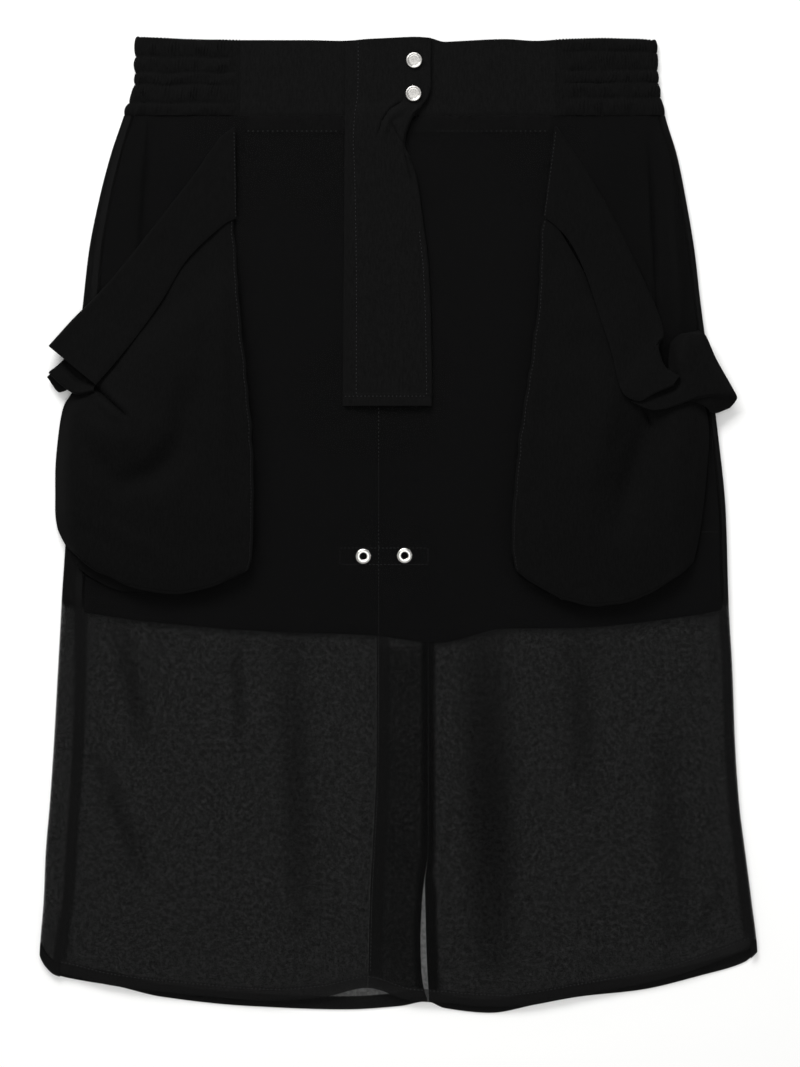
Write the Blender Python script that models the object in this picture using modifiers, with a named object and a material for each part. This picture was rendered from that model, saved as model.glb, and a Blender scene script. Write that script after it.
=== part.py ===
# A black midi skirt laid flat, face up, built from the pieces that a maker cuts and sews.
# Lengths are in millimetres until they reach a mesh, which is in metres.
# x runs across the skirt, down is the distance below the waist edge, and z is the height
# above the surface that the back panels rest on.
import math

import bmesh
import bpy
import numpy as np

MM = 0.001
LENGTH = 720.0  # waist edge to the lowest point of the hem
CLOTH = 1.0  # wall of a cloth piece
GAP = 0.3  # clearance between pieces at seams and in the stack
WAIST_DEPTH = 56.5  # waistband, from its top edge to the seam under it
PANEL_TOP = WAIST_DEPTH + GAP
HEM_DEPTH = 9.5  # turned hem along the bottom edge
HEM_WALL = 1.8  # cloth turned twice
STEP = 0.6  # run of a raised edge

BACK_TOP = CLOTH
LINING_BACK = BACK_TOP + GAP  # undersides of the layers, from the surface up
LINING_FRONT = LINING_BACK + CLOTH + GAP
FRONT_OVER_LINING = LINING_FRONT + CLOTH + GAP
FRONT_FREE = 2.6  # front panels below the lining, clear of the underlap and the back hem
LINING_INSET = 2.0  # side edge of the lining, in from the seam
LINING_RAMP = 16.0

BAND_WALL = 1.5
BAND_UNDER = 3.0  # underside of the front half of the waistband
BAND_FRONT_WALL = 1.8
CHANNEL_RISE = 1.1  # elastic channels stand this far over the grooves between them
BAND_WELT = 0.3  # stitched edges of the band stand this far over its middle
GATHER_PITCH = 3.0
GATHER_RISE = 0.35
ELASTIC_LEFT, ELASTIC_RIGHT = -117.0, 116.0  # where the flat front of the band begins and ends
BAND_RETURN = 14.0  # part of an elastic side that lies under the skirt

PLACKET_BED = BAND_UNDER + BAND_FRONT_WALL + BAND_WELT + GAP + 0.2
PLACKET_ROLL = 0.35  # inside radius of the placket's turned edge where it lies flat
PLACKET_TOP = PLACKET_BED + 2 * PLACKET_ROLL + 2 * CLOTH
UNDERLAP_TOP, UNDERLAP_SET_IN = 449.0, 1.0  # it ends this far short of the vent

BAG_WALL = CLOTH + 0.2
GUSSET_SET_IN = 2.0  # from the edge of the bag to the seams of the gusset
GUSSET_FOLD = 8.0  # from the edge of the bag to the fold of the gusset

SNAP_RADIUS, SNAP_HEIGHT, SNAP_SIDES = 5.85, 1.7, 24
EYELET_RADIUS, EYELET_HOLE, EYELET_BARREL = 5.75, 2.45, 3.4
EYELET_RISE, EYELET_SIDES = 1.3, 24

FINISHES = {  # colour, roughness, metallic
    "crepe": ((0.0070, 0.0070, 0.0078, 1.0), 0.82, 0.0),
    "lining": ((0.0052, 0.0052, 0.0060, 1.0), 0.60, 0.0),
    "metal": ((0.70, 0.70, 0.69, 1.0), 0.28, 1.0),
}


def table(columns, *rows):
    return dict(zip(columns.split(), np.array(rows, float).T))


OUTLINE = table(
    "down left right wrap_left wrap_right",
    (0, -195, 191, 6, 3.5),
    (28, -195, 192, 6, 3.5),
    (56, -203, 197, 6, 3.5),
    (86, -213, 206, 7, 3.5),
    (121, -222, 213, 8, 3.5),
    (157, -229, 219, 9, 3.5),
    (192, -233, 223, 10, 3.5),
    (237, -238, 229, 11, 3.5),
    (290, -243, 236, 12, 3.5),
    (350, -245, 242, 13, 3.5),
    (414, -249, 244, 15, 3.5),
    (467, -252, 247, 17, 3.5),
    (521, -255, 249, 18, 3.5),
    (565, -258, 252, 18.5, 3.5),
    (601, -261, 256.5, 19, 4),
    (636, -262.5, 261, 18, 4.5),
    (677, -265.5, 265.5, 16, 5),
    (720, -266, 266, 15, 5),
)
CENTRE_FRONT = table("down x", (0, -16.5), (525, -16.5), (598, -19.5), (636, -21.5), (720, -23))
BACK_VENT = table(
    "down left right",
    (0, 21.85, 22.15),
    (598, 21.85, 22.15),
    (625, 18.6, 19.6),
    (640, 17.2, 19.9),
    (666, 16.2, 20.5),
    (690, 17.0, 21.4),
    (703, 19.0, 22.2),
    (712, 21.4, 22.8),
    (720, 21.6, 23.0),
)
BACK_HEM = table(
    "x down",
    (-266, 676),
    (-262, 684),
    (-254, 691.5),
    (-232, 696.5),
    (-210, 700),
    (-176, 708),
    (-110, 715),
    (-40, 717.5),
    (1, 715),
    (21, 711.5),
    (34, 716.5),
    (68, 720),
    (101, 714),
    (134, 708),
    (179, 703),
    (223, 692.5),
    (256, 682.5),
    (266, 674),
)
FRONT_HEM = table(
    "x down",
    (-250, 690),
    (-241, 692),
    (-213, 699),
    (-159, 705.5),
    (-91, 710.5),
    (-57, 708),
    (-23, 701),
    (10, 710.5),
    (30, 712),
    (75, 715),
    (137, 706),
    (194, 695),
    (255, 674),
    (262, 671),
)
LINING_HEM = table(
    "x down",
    (-250, 419),
    (-230, 422.5),
    (-184, 429),
    (-100, 436),
    (-21, 439),
    (30, 444.5),
    (78, 434),
    (128, 433.5),
    (223, 423.5),
    (244, 419),
)
FOLDS = table(  # soft ridges of the front panels, from one end to the other
    "x0 down0 x1 down1 width height",
    (-120, 445, -118, 520, 16, 1.6),
    (-77, 442, -70, 645, 24, 2.8),
    (56, 445, 66, 668, 34, 4.4),
    (131, 440, 134, 508, 18, 2.0),
    (195, 520, 198, 600, 20, 2.2),
    (240, 625, 222, 658, 15, 1.6),
    (-206, 432, -190, 508, 18, 2.0),
    (-222, 530, -192, 608, 18, 2.4),
    (-188, 62, -194, 134, 16, 2.6),
    (-176, 60, -178, 84, 9, 1.4),
    (-152, 60, -154, 80, 9, 1.2),
    (202, 82, 207, 196, 18, 2.8),
    (177, 80, 185, 150, 14, 2.0),
    (131, 58, 137, 74, 9, 1.2),
    (163, 58, 168, 72, 9, 1.4),
)
WIDE_FOLD = 20.0  # a fold wider than this gets four columns of points, a narrower one three
FOLDS_DOWN = 460.0  # the columns are set out on the panels' width here
PANEL_END = LENGTH - 10.0  # the panels' rows are set out on this length
PANEL_ROWS = [PANEL_TOP, 68, 84, 112, 150, 200, 250, 310, 370, 418, 428, 438, 448, 460]
PANEL_ROWS += [485, 520, 560, 605, 630, 655, 680]
PLACKET_ROWS = [0.5, 24, 38, 46, 51, 56, 61, 66, 72, 78, 84, 92, 103, 120, 145, 180, 220]
PLACKET_ROWS += [262, 262.6, 271]

CHANNELS_LEFT = [0.0, 13.5, 25.0, 33.5, 47.5, WAIST_DEPTH]  # grooves of the elastic sides
CHANNELS_RIGHT = [0.0, 9.5, 23.5, 32.5, 43.5, WAIST_DEPTH]

PLACKET = table(  # edges of the strip, how far its right edge is turned under, and how it lifts
    "down left right under lift",
    (0.5, -39, 24, 6, 0),
    (20, -39, 24, 6, 0),
    (36, -39.2, 24, 6, 0),
    (42, -39.3, 22.5, 8, 0),
    (47, -39.3, 19.3, 10, 0.1),
    (51, -39.4, 16.5, 11, 0.8),
    (56, -39.5, 12, 13, 1.6),
    (64, -39.5, 8, 14, 1.8),
    (72, -39.5, 5.5, 14, 1.8),
    (79, -39.6, 4.8, 13, 1.6),
    (88, -39.6, 8.5, 11, 1.3),
    (103, -39.8, 13.5, 9, 0.8),
    (133, -40, 18, 7, 0.3),
    (172, -40.3, 22.5, 6, 0),
    (215, -40.6, 24.3, 6, 0),
    (271, -41, 25, 6, 0),
)
PLACKET_CREASE = table(
    "x0 down0 x1 down1 width height",
    (1, 53, -8, 56, 8, 1.2),
    (-8, 56, -15, 72, 10, 1.6),
)

LEFT_BAG = table(  # lines across the bag, from under the cuff to its bottom edge
    "outer outer_down inner inner_down sag low lift crown",
    (-236, 256, -124, 118, 2, 5.8, 1.2, 0.5),
    (-246.5, 270, -121, 150, 0, 3.6, 2.0, 2.0),
    (-250.5, 291, -118, 192, 0, 2.0, 6.0, 4.5),
    (-253, 322, -112, 250, 3, 1.4, 8.0, 5.0),
    (-253, 347, -107.5, 305, 7, 1.6, 8.2, 4.5),
    (-251.5, 360, -107, 348, 13, 3.0, 8.2, 3.0),
    (-248, 368, -108, 378, 20, 5.0, 8.0, 1.5),
    (-244, 375, -111, 391, 26, 5.6, 7.6, 0.0),
)
LEFT_BAG_DENTS = table(
    "x0 down0 x1 down1 width height",
    (-212, 288, -196, 296, 76, 4.2),
    (-147, 250, -160, 310, 44, -2.0),
    (-160, 310, -205, 342, 40, -2.0),
    (-236, 268, -205, 288, 22, -1.6),
    (-244, 262, -212, 264, 26, -3.0),
)
LEFT_CUFF = table(  # the turned band from its stitched inner end to its folded outer end
    "upper_x upper_down lower_x lower_down tuck under fold middle edge",
    (-120.5, 65, -119.5, 133, 14, 6.5, 7.9, 8.2, 8.8),
    (-130, 72, -125, 135, 14, 6.5, 8.0, 8.5, 9.3),
    (-151, 101, -141, 148, 14, 6.5, 8.4, 8.8, 9.6),
    (-176, 133, -158, 166, 13, 6.5, 8.8, 9.2, 9.8),
    (-198, 161, -174, 193, 12, 6.5, 9.2, 9.8, 10.8),
    (-221, 188, -193, 220, 11, 6.5, 9.6, 10.8, 12.4),
    (-240, 207, -208, 239, 7, 6.5, 10.2, 11.6, 13.4),
    (-258, 227, -222.5, 256, 5, 6.5, 10.8, 12.4, 14.6),
)
LEFT_FOLD = (  # the loop that the outer end of the band makes under itself, line by line
    table("x down z", (-246, 233.8, 7.6), (-237, 241, 8.2), (-228.5, 248.6, 9.6), (-222.5, 253.8, 12.4)),
    table("x down z", (-252, 241, 7.8), (-242.5, 250, 8.2), (-232, 256, 10), (-223, 256.8, 12.6)),
    table("x down z", (-257, 246, 9.2), (-247.5, 255, 10.8), (-235.5, 261.4, 12.8), (-224, 259.4, 13.4)),
    table("x down z", (-257, 246.6, 7), (-247.5, 255.6, 8.6), (-235.5, 262, 11.4), (-224, 260, 12.6)),
    table("x down z", (-252, 243, 5.4), (-246, 250, 6.4), (-237, 258.4, 10.6), (-226, 258, 12.2)),
    table("x down z", (-259.5, 249.5, 3.6), (-250, 261, 5), (-242, 259.5, 9.2), (-230, 258, 11.6)),
)
RIGHT_BAG = table(
    "outer outer_down inner inner_down sag low lift crown",
    (176, 250, 108, 124, -4, 6.4, 1.8, 0.5),
    (202, 266, 105, 150, -2, 6.4, 3.0, 1.5),
    (226, 274, 103.5, 190, 0, 6.4, 6.0, 2.5),
    (228.5, 294, 96, 250, 2, 6.6, 8.0, 5.0),
    (226.5, 325, 89, 298, 6, 6.6, 8.2, 4.5),
    (224, 348, 84.5, 345, 12, 6.6, 8.2, 3.0),
    (221.5, 366, 83.3, 374, 24, 7.0, 8.0, 1.5),
    (217, 386, 86, 391, 30, 8.0, 7.6, 0.0),
)
RIGHT_BAG_DENTS = table(
    "x0 down0 x1 down1 width height",
    (186, 262, 166, 350, 60, -6.6),
    (120, 300, 118, 345, 60, 1.2),
    (212, 322, 202, 365, 26, 2.0),
)
RIGHT_CUFF = table(
    "upper_x upper_down lower_x lower_down tuck under fold middle edge",
    (115.5, 64, 107, 132, 14, 6.5, 7.9, 8.2, 8.8),
    (123, 75, 113, 136, 14, 6.5, 8.0, 8.5, 9.3),
    (135, 93, 126, 150, 14, 6.5, 8.4, 8.8, 9.6),
    (154.5, 125, 137.5, 173, 13, 6.5, 9.0, 9.6, 10.2),
    (170.5, 157, 148.5, 206.5, 12, 6.5, 9.6, 11.4, 13.4),
    (184.5, 187, 157, 234, 11, 6.5, 10.4, 13.8, 16.6),
    (193, 208, 161.5, 254.5, 6, 7.0, 12.0, 16.2, 19.0),
    (195, 218, 165.5, 263.5, 4, 9.0, 13.8, 18.2, 20.6),
    (190.5, 227, 176, 268, 3, 12.0, 16.2, 19.4, 20.8),
    (195, 242, 187, 262.5, 2, 14.6, 18.2, 20.0, 20.8),
    (206, 249.8, 201.5, 256, 1, 17.6, 19.6, 20.0, 20.4),
)
RIGHT_FLAP = (  # the flared end of the band: its inner side, rim, face, lower edge and turned hem
    table(
        "x down z",
        (178, 258, 17.0),
        (189, 256, 15.2),
        (199, 249.5, 13.4),
        (199.5, 238, 9.6),
        (200.5, 227, 9.0),
        (207, 219.5, 8.4),
        (221, 216, 7.0),
    ),
    table(
        "x down z",
        (176, 262, 17.8),
        (190, 261, 16.2),
        (205, 254.5, 15.0),
        (207.5, 240, 17.6),
        (210, 225.5, 18.0),
        (215.5, 218.5, 16.0),
        (225.5, 219, 10.5),
    ),
    table(
        "x down z",
        (173, 266, 18.6),
        (189.5, 266, 17.8),
        (206, 261.5, 17.4),
        (213, 250, 17.8),
        (217, 240.5, 17.4),
        (224.5, 235.5, 15.0),
        (233.5, 236.5, 10.0),
    ),
    table(
        "x down z",
        (170.5, 268.5, 19.0),
        (187, 274.5, 18.8),
        (205, 270, 18.0),
        (218, 265, 17.6),
        (230, 262.3, 16.4),
        (239.5, 261.6, 13.6),
        (249, 265, 9.5),
    ),
    table(
        "x down z",
        (171.5, 268, 18.3),
        (187, 273.5, 17.9),
        (205, 269.4, 16.8),
        (218, 265.4, 15.6),
        (229.5, 264.5, 14.2),
        (238.5, 266, 11.4),
        (248, 267.5, 7.6),
    ),
    table(
        "x down z",
        (174, 265.5, 18.0),
        (187.5, 270.5, 17.4),
        (205, 267, 16.2),
        (216, 268, 14.6),
        (225, 271.5, 13.4),
        (232, 276.5, 10.0),
        (244, 272, 5.6),
    ),
)

parts = bpy.data.collections.new("midi_skirt")
cutters = bpy.data.collections.new("cutters")


def clear_scene():
    for thing in list(bpy.data.objects):
        bpy.data.objects.remove(thing, do_unlink=True)
    bpy.context.scene.collection.children.link(parts)
    bpy.context.scene.collection.children.link(cutters)


def follow(rows, name, at, by=None):
    # A smooth reading of one column, by another column or by the number of the row.
    values = rows[name]
    knots = rows[by] if by else np.arange(len(values), dtype=float)
    secants = np.diff(values) / np.diff(knots)
    before, after = np.append(secants[0], secants), np.append(secants, secants[-1])
    steady = before * after > 0
    slopes = np.where(steady, 2 * before * after / np.where(steady, before + after, 1), 0)
    i = np.clip(np.searchsorted(knots, at) - 1, 0, len(knots) - 2)
    span = knots[i + 1] - knots[i]
    t = np.clip((at - knots[i]) / span, 0, 1)
    start = (1 + 2 * t) * (1 - t) ** 2 * values[i] + t * (1 - t) ** 2 * span * slopes[i]
    end = t * t * (3 - 2 * t) * values[i + 1] - t * t * (1 - t) * span * slopes[i + 1]
    return start + end


def ease(share):
    t = np.clip(share, 0, 1)
    return t * t * (3 - 2 * t)


def ridge_height(ridges, x, down):
    rise = np.zeros(np.broadcast(x, down).shape)
    for x0, down0, x1, down1, width, height in zip(*ridges.values()):
        run, drop = x1 - x0, down1 - down0
        along = np.clip(((x - x0) * run + (down - down0) * drop) / (run**2 + drop**2), 0, 1)
        off = np.hypot(x - x0 - along * run, down - down0 - along * drop)
        across = np.cos(np.minimum(off / (width / 2), 1) * math.pi / 2) ** 2
        rise += height * across * np.sin(math.pi * (0.12 + 0.76 * along))
    return rise


def side(down, which, wrap=True):
    # The silhouette at one side, or the seam that lies in from it on the front.
    edge = follow(OUTLINE, which, down, "down")
    if not wrap:
        return edge
    inward = follow(OUTLINE, "wrap_" + which, down, "down")
    return edge + inward if which == "left" else edge - inward


def front_level(x, down):
    # The front lies higher where the lining is under it.
    past = (down - follow(LINING_HEM, "down", x, "x") - 2) / LINING_RAMP
    return FRONT_OVER_LINING + (FRONT_FREE - FRONT_OVER_LINING) * ease(past)


def front_under(x, down):
    return front_level(x, down) + ridge_height(FOLDS, x, down)


def front_top(x, down):
    return front_under(x, down) + CLOTH


def points(x, down, z):
    x, down, z = np.broadcast_arrays(x, down, z)
    return np.stack([x, LENGTH / 2 - down, z], axis=-1)


def finish(name, kind):
    colour, roughness, metallic = FINISHES[kind]
    made = bpy.data.materials.new(f"{name}_{kind}")
    made.use_nodes = True
    shader = made.node_tree.nodes["Principled BSDF"]
    shader.inputs["Base Color"].default_value = colour
    shader.inputs["Roughness"].default_value = roughness
    shader.inputs["Metallic"].default_value = metallic
    return made


def add(name, kind, mesh):
    piece = bpy.data.objects.new(name, mesh)
    parts.objects.link(piece)
    mesh.materials.append(finish(name, kind))
    mesh.shade_smooth()
    mesh.set_sharp_from_angle(angle=math.radians(40))
    return piece


def sheet(name, grid, wall=CLOTH, outward=1, kind="crepe", flat=False):
    # Cloth from an open grid of points, made solid on one side.
    # wall is one thickness, or one for each point. A mostly flat piece has its level faces joined.
    rows, columns = grid.shape[:2]
    built = bmesh.new()
    verts = [built.verts.new(p) for p in grid.reshape(-1, 3) * MM]
    for row in range(rows - 1):
        for column in range(columns - 1):
            a = row * columns + column
            built.faces.new((verts[a], verts[a + columns], verts[a + columns + 1], verts[a + 1]))
    mesh = bpy.data.meshes.new(name)
    built.to_mesh(mesh)
    built.free()
    piece = add(name, kind, mesh)
    solid = piece.modifiers.new("cloth", "SOLIDIFY")
    solid.offset = outward
    solid.thickness = np.max(wall) * MM
    if np.ndim(wall):
        shares = np.broadcast_to(wall, grid.shape[:2]).ravel() / np.max(wall)
        thick = piece.vertex_groups.new(name="thickness")
        for index, share in enumerate(shares):
            thick.add([index], float(share), "REPLACE")
        solid.vertex_group = thick.name
        solid.thickness_vertex_group = 0
    if flat:
        plain = piece.modifiers.new("flat areas", "DECIMATE")
        plain.decimate_type = "DISSOLVE"
        plain.angle_limit = math.radians(0.4)
    return piece


def hang(across, top, bottom, rows):
    # x and down of a panel's points. across gives each column's x at its own down, and the
    # bottom edge is read at that x, so the two are settled in turns.
    end = bottom(across(np.full(across(0.0).shape, PANEL_END)))
    for _ in range(8):
        end = bottom(across(end))
    down = top + rows[:, None] * (end - top)
    return across(down), down


def panel_rows():
    # Rows of a panel as shares of its length. They close up at the lining's edge and at the hem.
    run = PANEL_END - PANEL_TOP
    shares = [(down - PANEL_TOP) / run for down in PANEL_ROWS]
    return np.array(shares + [1 - (HEM_DEPTH + STEP) / run, 1 - HEM_DEPTH / run, 1.0])


def hem_wall(rows, columns):
    wall = np.full((rows, columns), CLOTH)
    wall[-2:] = HEM_WALL
    return wall


def fold_columns(start, end, spacing=36.0, least=3.6):
    # Places across a panel, as shares of its width: even ones, and a few at each of its folds.
    width = end - start
    lines = set(np.linspace(0, 1, round(width / spacing)))
    for x0, _, x1, _, broad, _ in zip(*FOLDS.values()):
        for offset in (-0.5, -0.2, 0.2, 0.5) if broad > WIDE_FOLD else (-0.45, 0, 0.45):
            lines.add(((x0 + x1) / 2 + offset * broad - start) / width)
    kept = [0.0]
    for share in sorted(lines):
        if kept[-1] + least / width < share < 1 - least / width:
            kept.append(share)
    return np.array(kept + [1.0])


def front_panels():
    rows = panel_rows()

    def centre(down):
        return follow(CENTRE_FRONT, "x", down, "down")

    def hem(x):
        return follow(FRONT_HEM, "down", x, "x")

    split = CENTRE_FRONT["x"][0]
    shares = fold_columns(side(FOLDS_DOWN, "left"), split)
    x, down = hang(
        lambda d: side(d, "left") + GAP + shares * (centre(d) - side(d, "left") - 1.5 * GAP),
        PANEL_TOP,
        hem,
        rows,
    )
    left = sheet("front_left", points(x, down, front_under(x, down)), hem_wall(*x.shape), flat=True)
    shares = fold_columns(split, side(FOLDS_DOWN, "right"))
    x, down = hang(
        lambda d: centre(d) + GAP / 2 + shares * (side(d, "right") - centre(d) - 1.5 * GAP),
        PANEL_TOP,
        hem,
        rows,
    )
    right = sheet("front_right", points(x, down, front_under(x, down)), hem_wall(*x.shape), flat=True)
    return left, right


def back_panel(which, shares):
    # Flat from the centre seam to the side, where it rolls up and lies on itself as far as the seam.
    turn = np.linspace(0, math.pi, 5)[1:-1]
    sign = 1 if which == "left" else -1
    flat, rolled = len(shares), len(turn)

    def across(down):
        down = np.broadcast_to(down, np.broadcast_shapes(np.shape(down), (flat + rolled + 3,)))
        edge = side(down, which, wrap=False)
        start = follow(BACK_VENT, which, down, "down")
        radius = (front_level(edge, down) + CLOTH) / 2
        bend = edge + sign * radius
        seam = side(down, which)
        x = start + np.concatenate([shares, np.ones(rolled + 3)]) * (bend - start)
        x[..., flat : flat + rolled] -= (sign * radius)[..., flat : flat + rolled] * np.sin(turn)
        x[..., -2] = (bend + seam)[..., -2] / 2
        x[..., -1] = seam[..., -1]
        return x

    x, down = hang(across, PANEL_TOP, lambda at: follow(BACK_HEM, "down", at, "x"), panel_rows())
    height = front_level(side(down, which, wrap=False), down) + CLOTH
    z = height * np.concatenate([np.zeros(flat), (1 - np.cos(turn)) / 2, np.ones(3)])
    wall = hem_wall(*x.shape)
    wall[:, flat - 1 :] = CLOTH
    sheet("back_" + which, points(x, down, z), wall, outward=-sign, flat=True)


def linings():
    shares = np.linspace(0, 1, 11)

    def across(down):
        left = side(down, "left") + LINING_INSET
        right = side(down, "right") - LINING_INSET
        return left + shares * (right - left)

    rows = np.linspace(0, 1, 6)
    for name, under, extra in (("lining_back", LINING_BACK, 1.5), ("lining_front", LINING_FRONT, 0)):
        x, down = hang(across, PANEL_TOP, lambda at: follow(LINING_HEM, "down", at, "x") + extra, rows)
        sheet(name, points(x, down, under), kind="lining", flat=True)


def underlap():
    # The facing behind the centre front seam, seen through the sheer cloth under the lining.
    shares = np.linspace(0, 1, 5)

    def across(down):
        left = follow(CENTRE_FRONT, "x", down, "down") + 1
        right = follow(BACK_VENT, "left", down, "down") - UNDERLAP_SET_IN
        return left + shares * (right - left)

    def bottom(x):
        front = follow(FRONT_HEM, "down", x, "x")
        back = follow(BACK_HEM, "down", x, "x") - HEM_DEPTH - 2 * STEP
        return np.minimum(front, back) - 1.5

    x, down = hang(across, UNDERLAP_TOP, bottom, np.linspace(0, 1, 12))
    sheet("front_underlap", points(x, down, LINING_BACK), flat=True)


def elastic_side(which, grooves):
    # Channels run along the band and small gathers across it. Both stand on the outer face only.
    sign = 1 if which == "left" else -1
    inner = ELASTIC_LEFT if which == "left" else ELASTIC_RIGHT
    radius = (BAND_UNDER - BAND_WALL) / 2
    downs, rise = [], []
    for top, bottom in zip(grooves, grooves[1:]):
        for share in (0, 0.5):
            downs.append(top + share * (bottom - top))
            rise.append(math.sin(math.pi * share))
    downs, rise = np.array(downs + [grooves[-1]]), np.array(rise + [0.0])
    edge = side(downs, which, wrap=False)
    puff = sign * CHANNEL_RISE * rise * 0.8
    bend = (edge - puff + sign * (radius + BAND_WALL + CHANNEL_RISE))[:, None]
    count = 2 * round(abs(inner - edge.mean()) / GATHER_PITCH) + 1
    start = inner - sign * GAP / 2
    top = start + np.linspace(0, 1, count) * (bend - start)
    turn = np.linspace(0, math.pi, 5)[1:-1]
    roll = bend - sign * radius * np.sin(turn)
    under = bend + sign * np.array([0.0, 0.5, 1.0]) * BAND_RETURN
    x = np.concatenate([top, roll, under], axis=1)
    z_roll = BAND_WALL + radius * (1 + np.cos(turn))
    z = np.concatenate([np.full(count, BAND_UNDER), z_roll, np.full(3, BAND_WALL)])
    gather = np.where(np.arange(count) % 2, GATHER_RISE, 0.0)
    raised = CHANNEL_RISE * rise[:, None] + gather
    raised[:, 0] = BAND_WELT
    round_side = CHANNEL_RISE * rise[:, None] * np.array([0.9, 0.6, 0.2])
    wall = BAND_WALL + np.concatenate([raised, round_side, np.zeros((len(downs), 3))], axis=1)
    sheet("waistband_elastic_" + which, points(x, downs[:, None], z), wall, outward=-sign)
    return under[:, -1]


def waistband(left_end, right_end):
    downs = [0.0, 3.0, 3.0 + STEP, WAIST_DEPTH / 2, WAIST_DEPTH - 3.4 - STEP, WAIST_DEPTH - 3.4, WAIST_DEPTH]
    downs = np.array(downs)[:, None]
    wall = BAND_FRONT_WALL + BAND_WELT * np.array([1, 1, 0, 0, 0, 1, 1])[:, None]
    middle = CENTRE_FRONT["x"][0]
    for name, start, end in (
        ("waistband_front_left", ELASTIC_LEFT + GAP, middle - GAP / 2),
        ("waistband_front_right", middle + GAP / 2, ELASTIC_RIGHT - GAP),
    ):
        x = np.linspace(start, end, 7)[None]
        grid = points(x, downs, BAND_UNDER)
        sheet(name, grid, np.broadcast_to(wall, grid.shape[:2]), flat=True)
    x = np.linspace(left_end.max() + GAP, right_end.min() - GAP, 9)[None]
    sheet("waistband_back", points(x, downs, 0.0), BAND_WALL, flat=True)


def placket():
    # A strip over the front opening. Its right edge is turned under and buckles below the snaps.
    downs = np.array(PLACKET_ROWS)[:, None]
    columns = (follow(PLACKET, name, downs, "down") for name in ("left", "right", "under", "lift"))
    left, right, under, lift = columns
    radius = PLACKET_ROLL + 0.5 * lift
    bend = right - CLOTH - radius
    shares = np.array([0, 0.08, 0.3, 0.5, 0.66, 0.8, 0.9, 1.0])
    x_top = left + shares * (bend - left)
    z_top = PLACKET_BED + (CLOTH + 2 * radius) * ease(shares / 0.3)
    z_top = z_top + ridge_height(PLACKET_CREASE, x_top, downs)
    turn = np.linspace(0, math.pi, 6)[1:-1]
    x_roll = bend + radius * np.sin(turn)
    z_roll = PLACKET_BED + CLOTH + radius * (1 + np.cos(turn))
    x_under = bend - under * np.array([0.0, 0.5, 1.0])
    z_under = np.broadcast_to(PLACKET_BED + CLOTH, x_under.shape)
    x = np.concatenate([x_top, x_roll, x_under], axis=1)
    z = np.concatenate([z_top, z_roll, z_under], axis=1)
    wall = np.full(x.shape, CLOTH)
    wall[-2:, : len(shares)] = CLOTH + 0.5
    sheet("placket", points(x, downs, z), wall)


def bag(name, lines, dents, rows=14):
    # A puffed bag: low at its outer side, and held off the panel along its other edges.
    # s runs across it, from the outer side to the inner edge.
    at = np.linspace(0, len(lines["lift"]) - 1, rows)[:, None]
    s = np.array([0, 0.02, 0.05, 0.1, 0.17, 0.26, 0.36, 0.48, 0.6, 0.72, 0.84, 0.94, 1.0])
    outer, outer_down, inner, inner_down, sag, low, lift, crown = (follow(lines, c, at) for c in lines)
    x = outer + s * (inner - outer)
    down = outer_down + s * (inner_down - outer_down) + sag * 4 * s * (1 - s)
    high = FRONT_OVER_LINING + CLOTH + lift + crown * np.sin(math.pi * s) ** 0.8
    z = low + (high - low) * np.sin(np.minimum(s / 0.12, 1) * math.pi / 2)
    z = z + ridge_height(dents, x, down) * np.sin(math.pi * s) ** 0.5
    grid = points(x, down, z)
    sheet(name, grid, BAG_WALL, outward=1 if outer[0, 0] < inner[0, 0] else -1)
    return grid


def gusset(name, edge, sign, count=20):
    # A bellows wall under the edge of a bag, folded inward like a sideways V.
    run = np.concatenate([[0], np.cumsum(np.linalg.norm(np.diff(edge[:, :2], axis=0), axis=1))])
    at = np.linspace(0, run[-1], count)
    path = np.stack([np.interp(at, run, edge[:, i]) for i in range(3)], axis=1)
    along = np.gradient(path[:, :2], axis=0)
    along /= np.linalg.norm(along, axis=1)[:, None]
    inward = sign * np.stack([along[:, 1], -along[:, 0]], axis=1)

    def rail(inset, z):
        place = path[:, :2] + inset * inward
        return np.concatenate([place, z[:, None]], axis=1)

    seat = path[:, :2] + GUSSET_SET_IN * inward
    foot = front_top(seat[:, 0], LENGTH / 2 - seat[:, 1]) + GAP + CLOTH + 0.5
    head = path[:, 2] - CLOTH - 2 * GAP - 0.3
    middle = (foot + head) / 2
    rails = [
        rail(GUSSET_SET_IN, head),
        rail(GUSSET_FOLD, middle + 0.5),
        rail(GUSSET_FOLD, middle - 0.5),
        rail(GUSSET_SET_IN, foot),
    ]
    sheet(name, np.stack(rails, axis=1), CLOTH, outward=-sign)


def cuff(name, stations, rows):
    # The turned mouth of a pocket: a short under layer, the fold, and the wide upper layer.
    at = np.linspace(0, len(stations["fold"]) - 1, rows)[:, None]
    ux, ud, wx, wd, tuck, under, fold, middle, edge = (follow(stations, c, at) for c in stations)
    width = np.hypot(wx - ux, wd - ud)
    radius = (fold - under) / 2
    turn = np.linspace(0, math.pi, 5)[1:-1]
    start = CLOTH + radius
    reach = np.concatenate(
        [start + tuck, start + 0.4 * tuck, start, start - radius * np.sin(turn), start]
        + [share * width for share in (0.3, 0.6, 0.9, 1.0)],
        axis=1,
    )
    z = np.concatenate(
        [under, under, under, under + radius * (1 - np.cos(turn))]
        + [fold, (fold + middle) / 2, middle, middle + 0.85 * (edge - middle), edge],
        axis=1,
    )
    x = ux + (wx - ux) * reach / width
    down = ud + (wd - ud) * reach / width
    outward = 1 if wx[-1, 0] < 0 else -1
    sheet(name, points(x, down, z), CLOTH, outward=outward)


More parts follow.
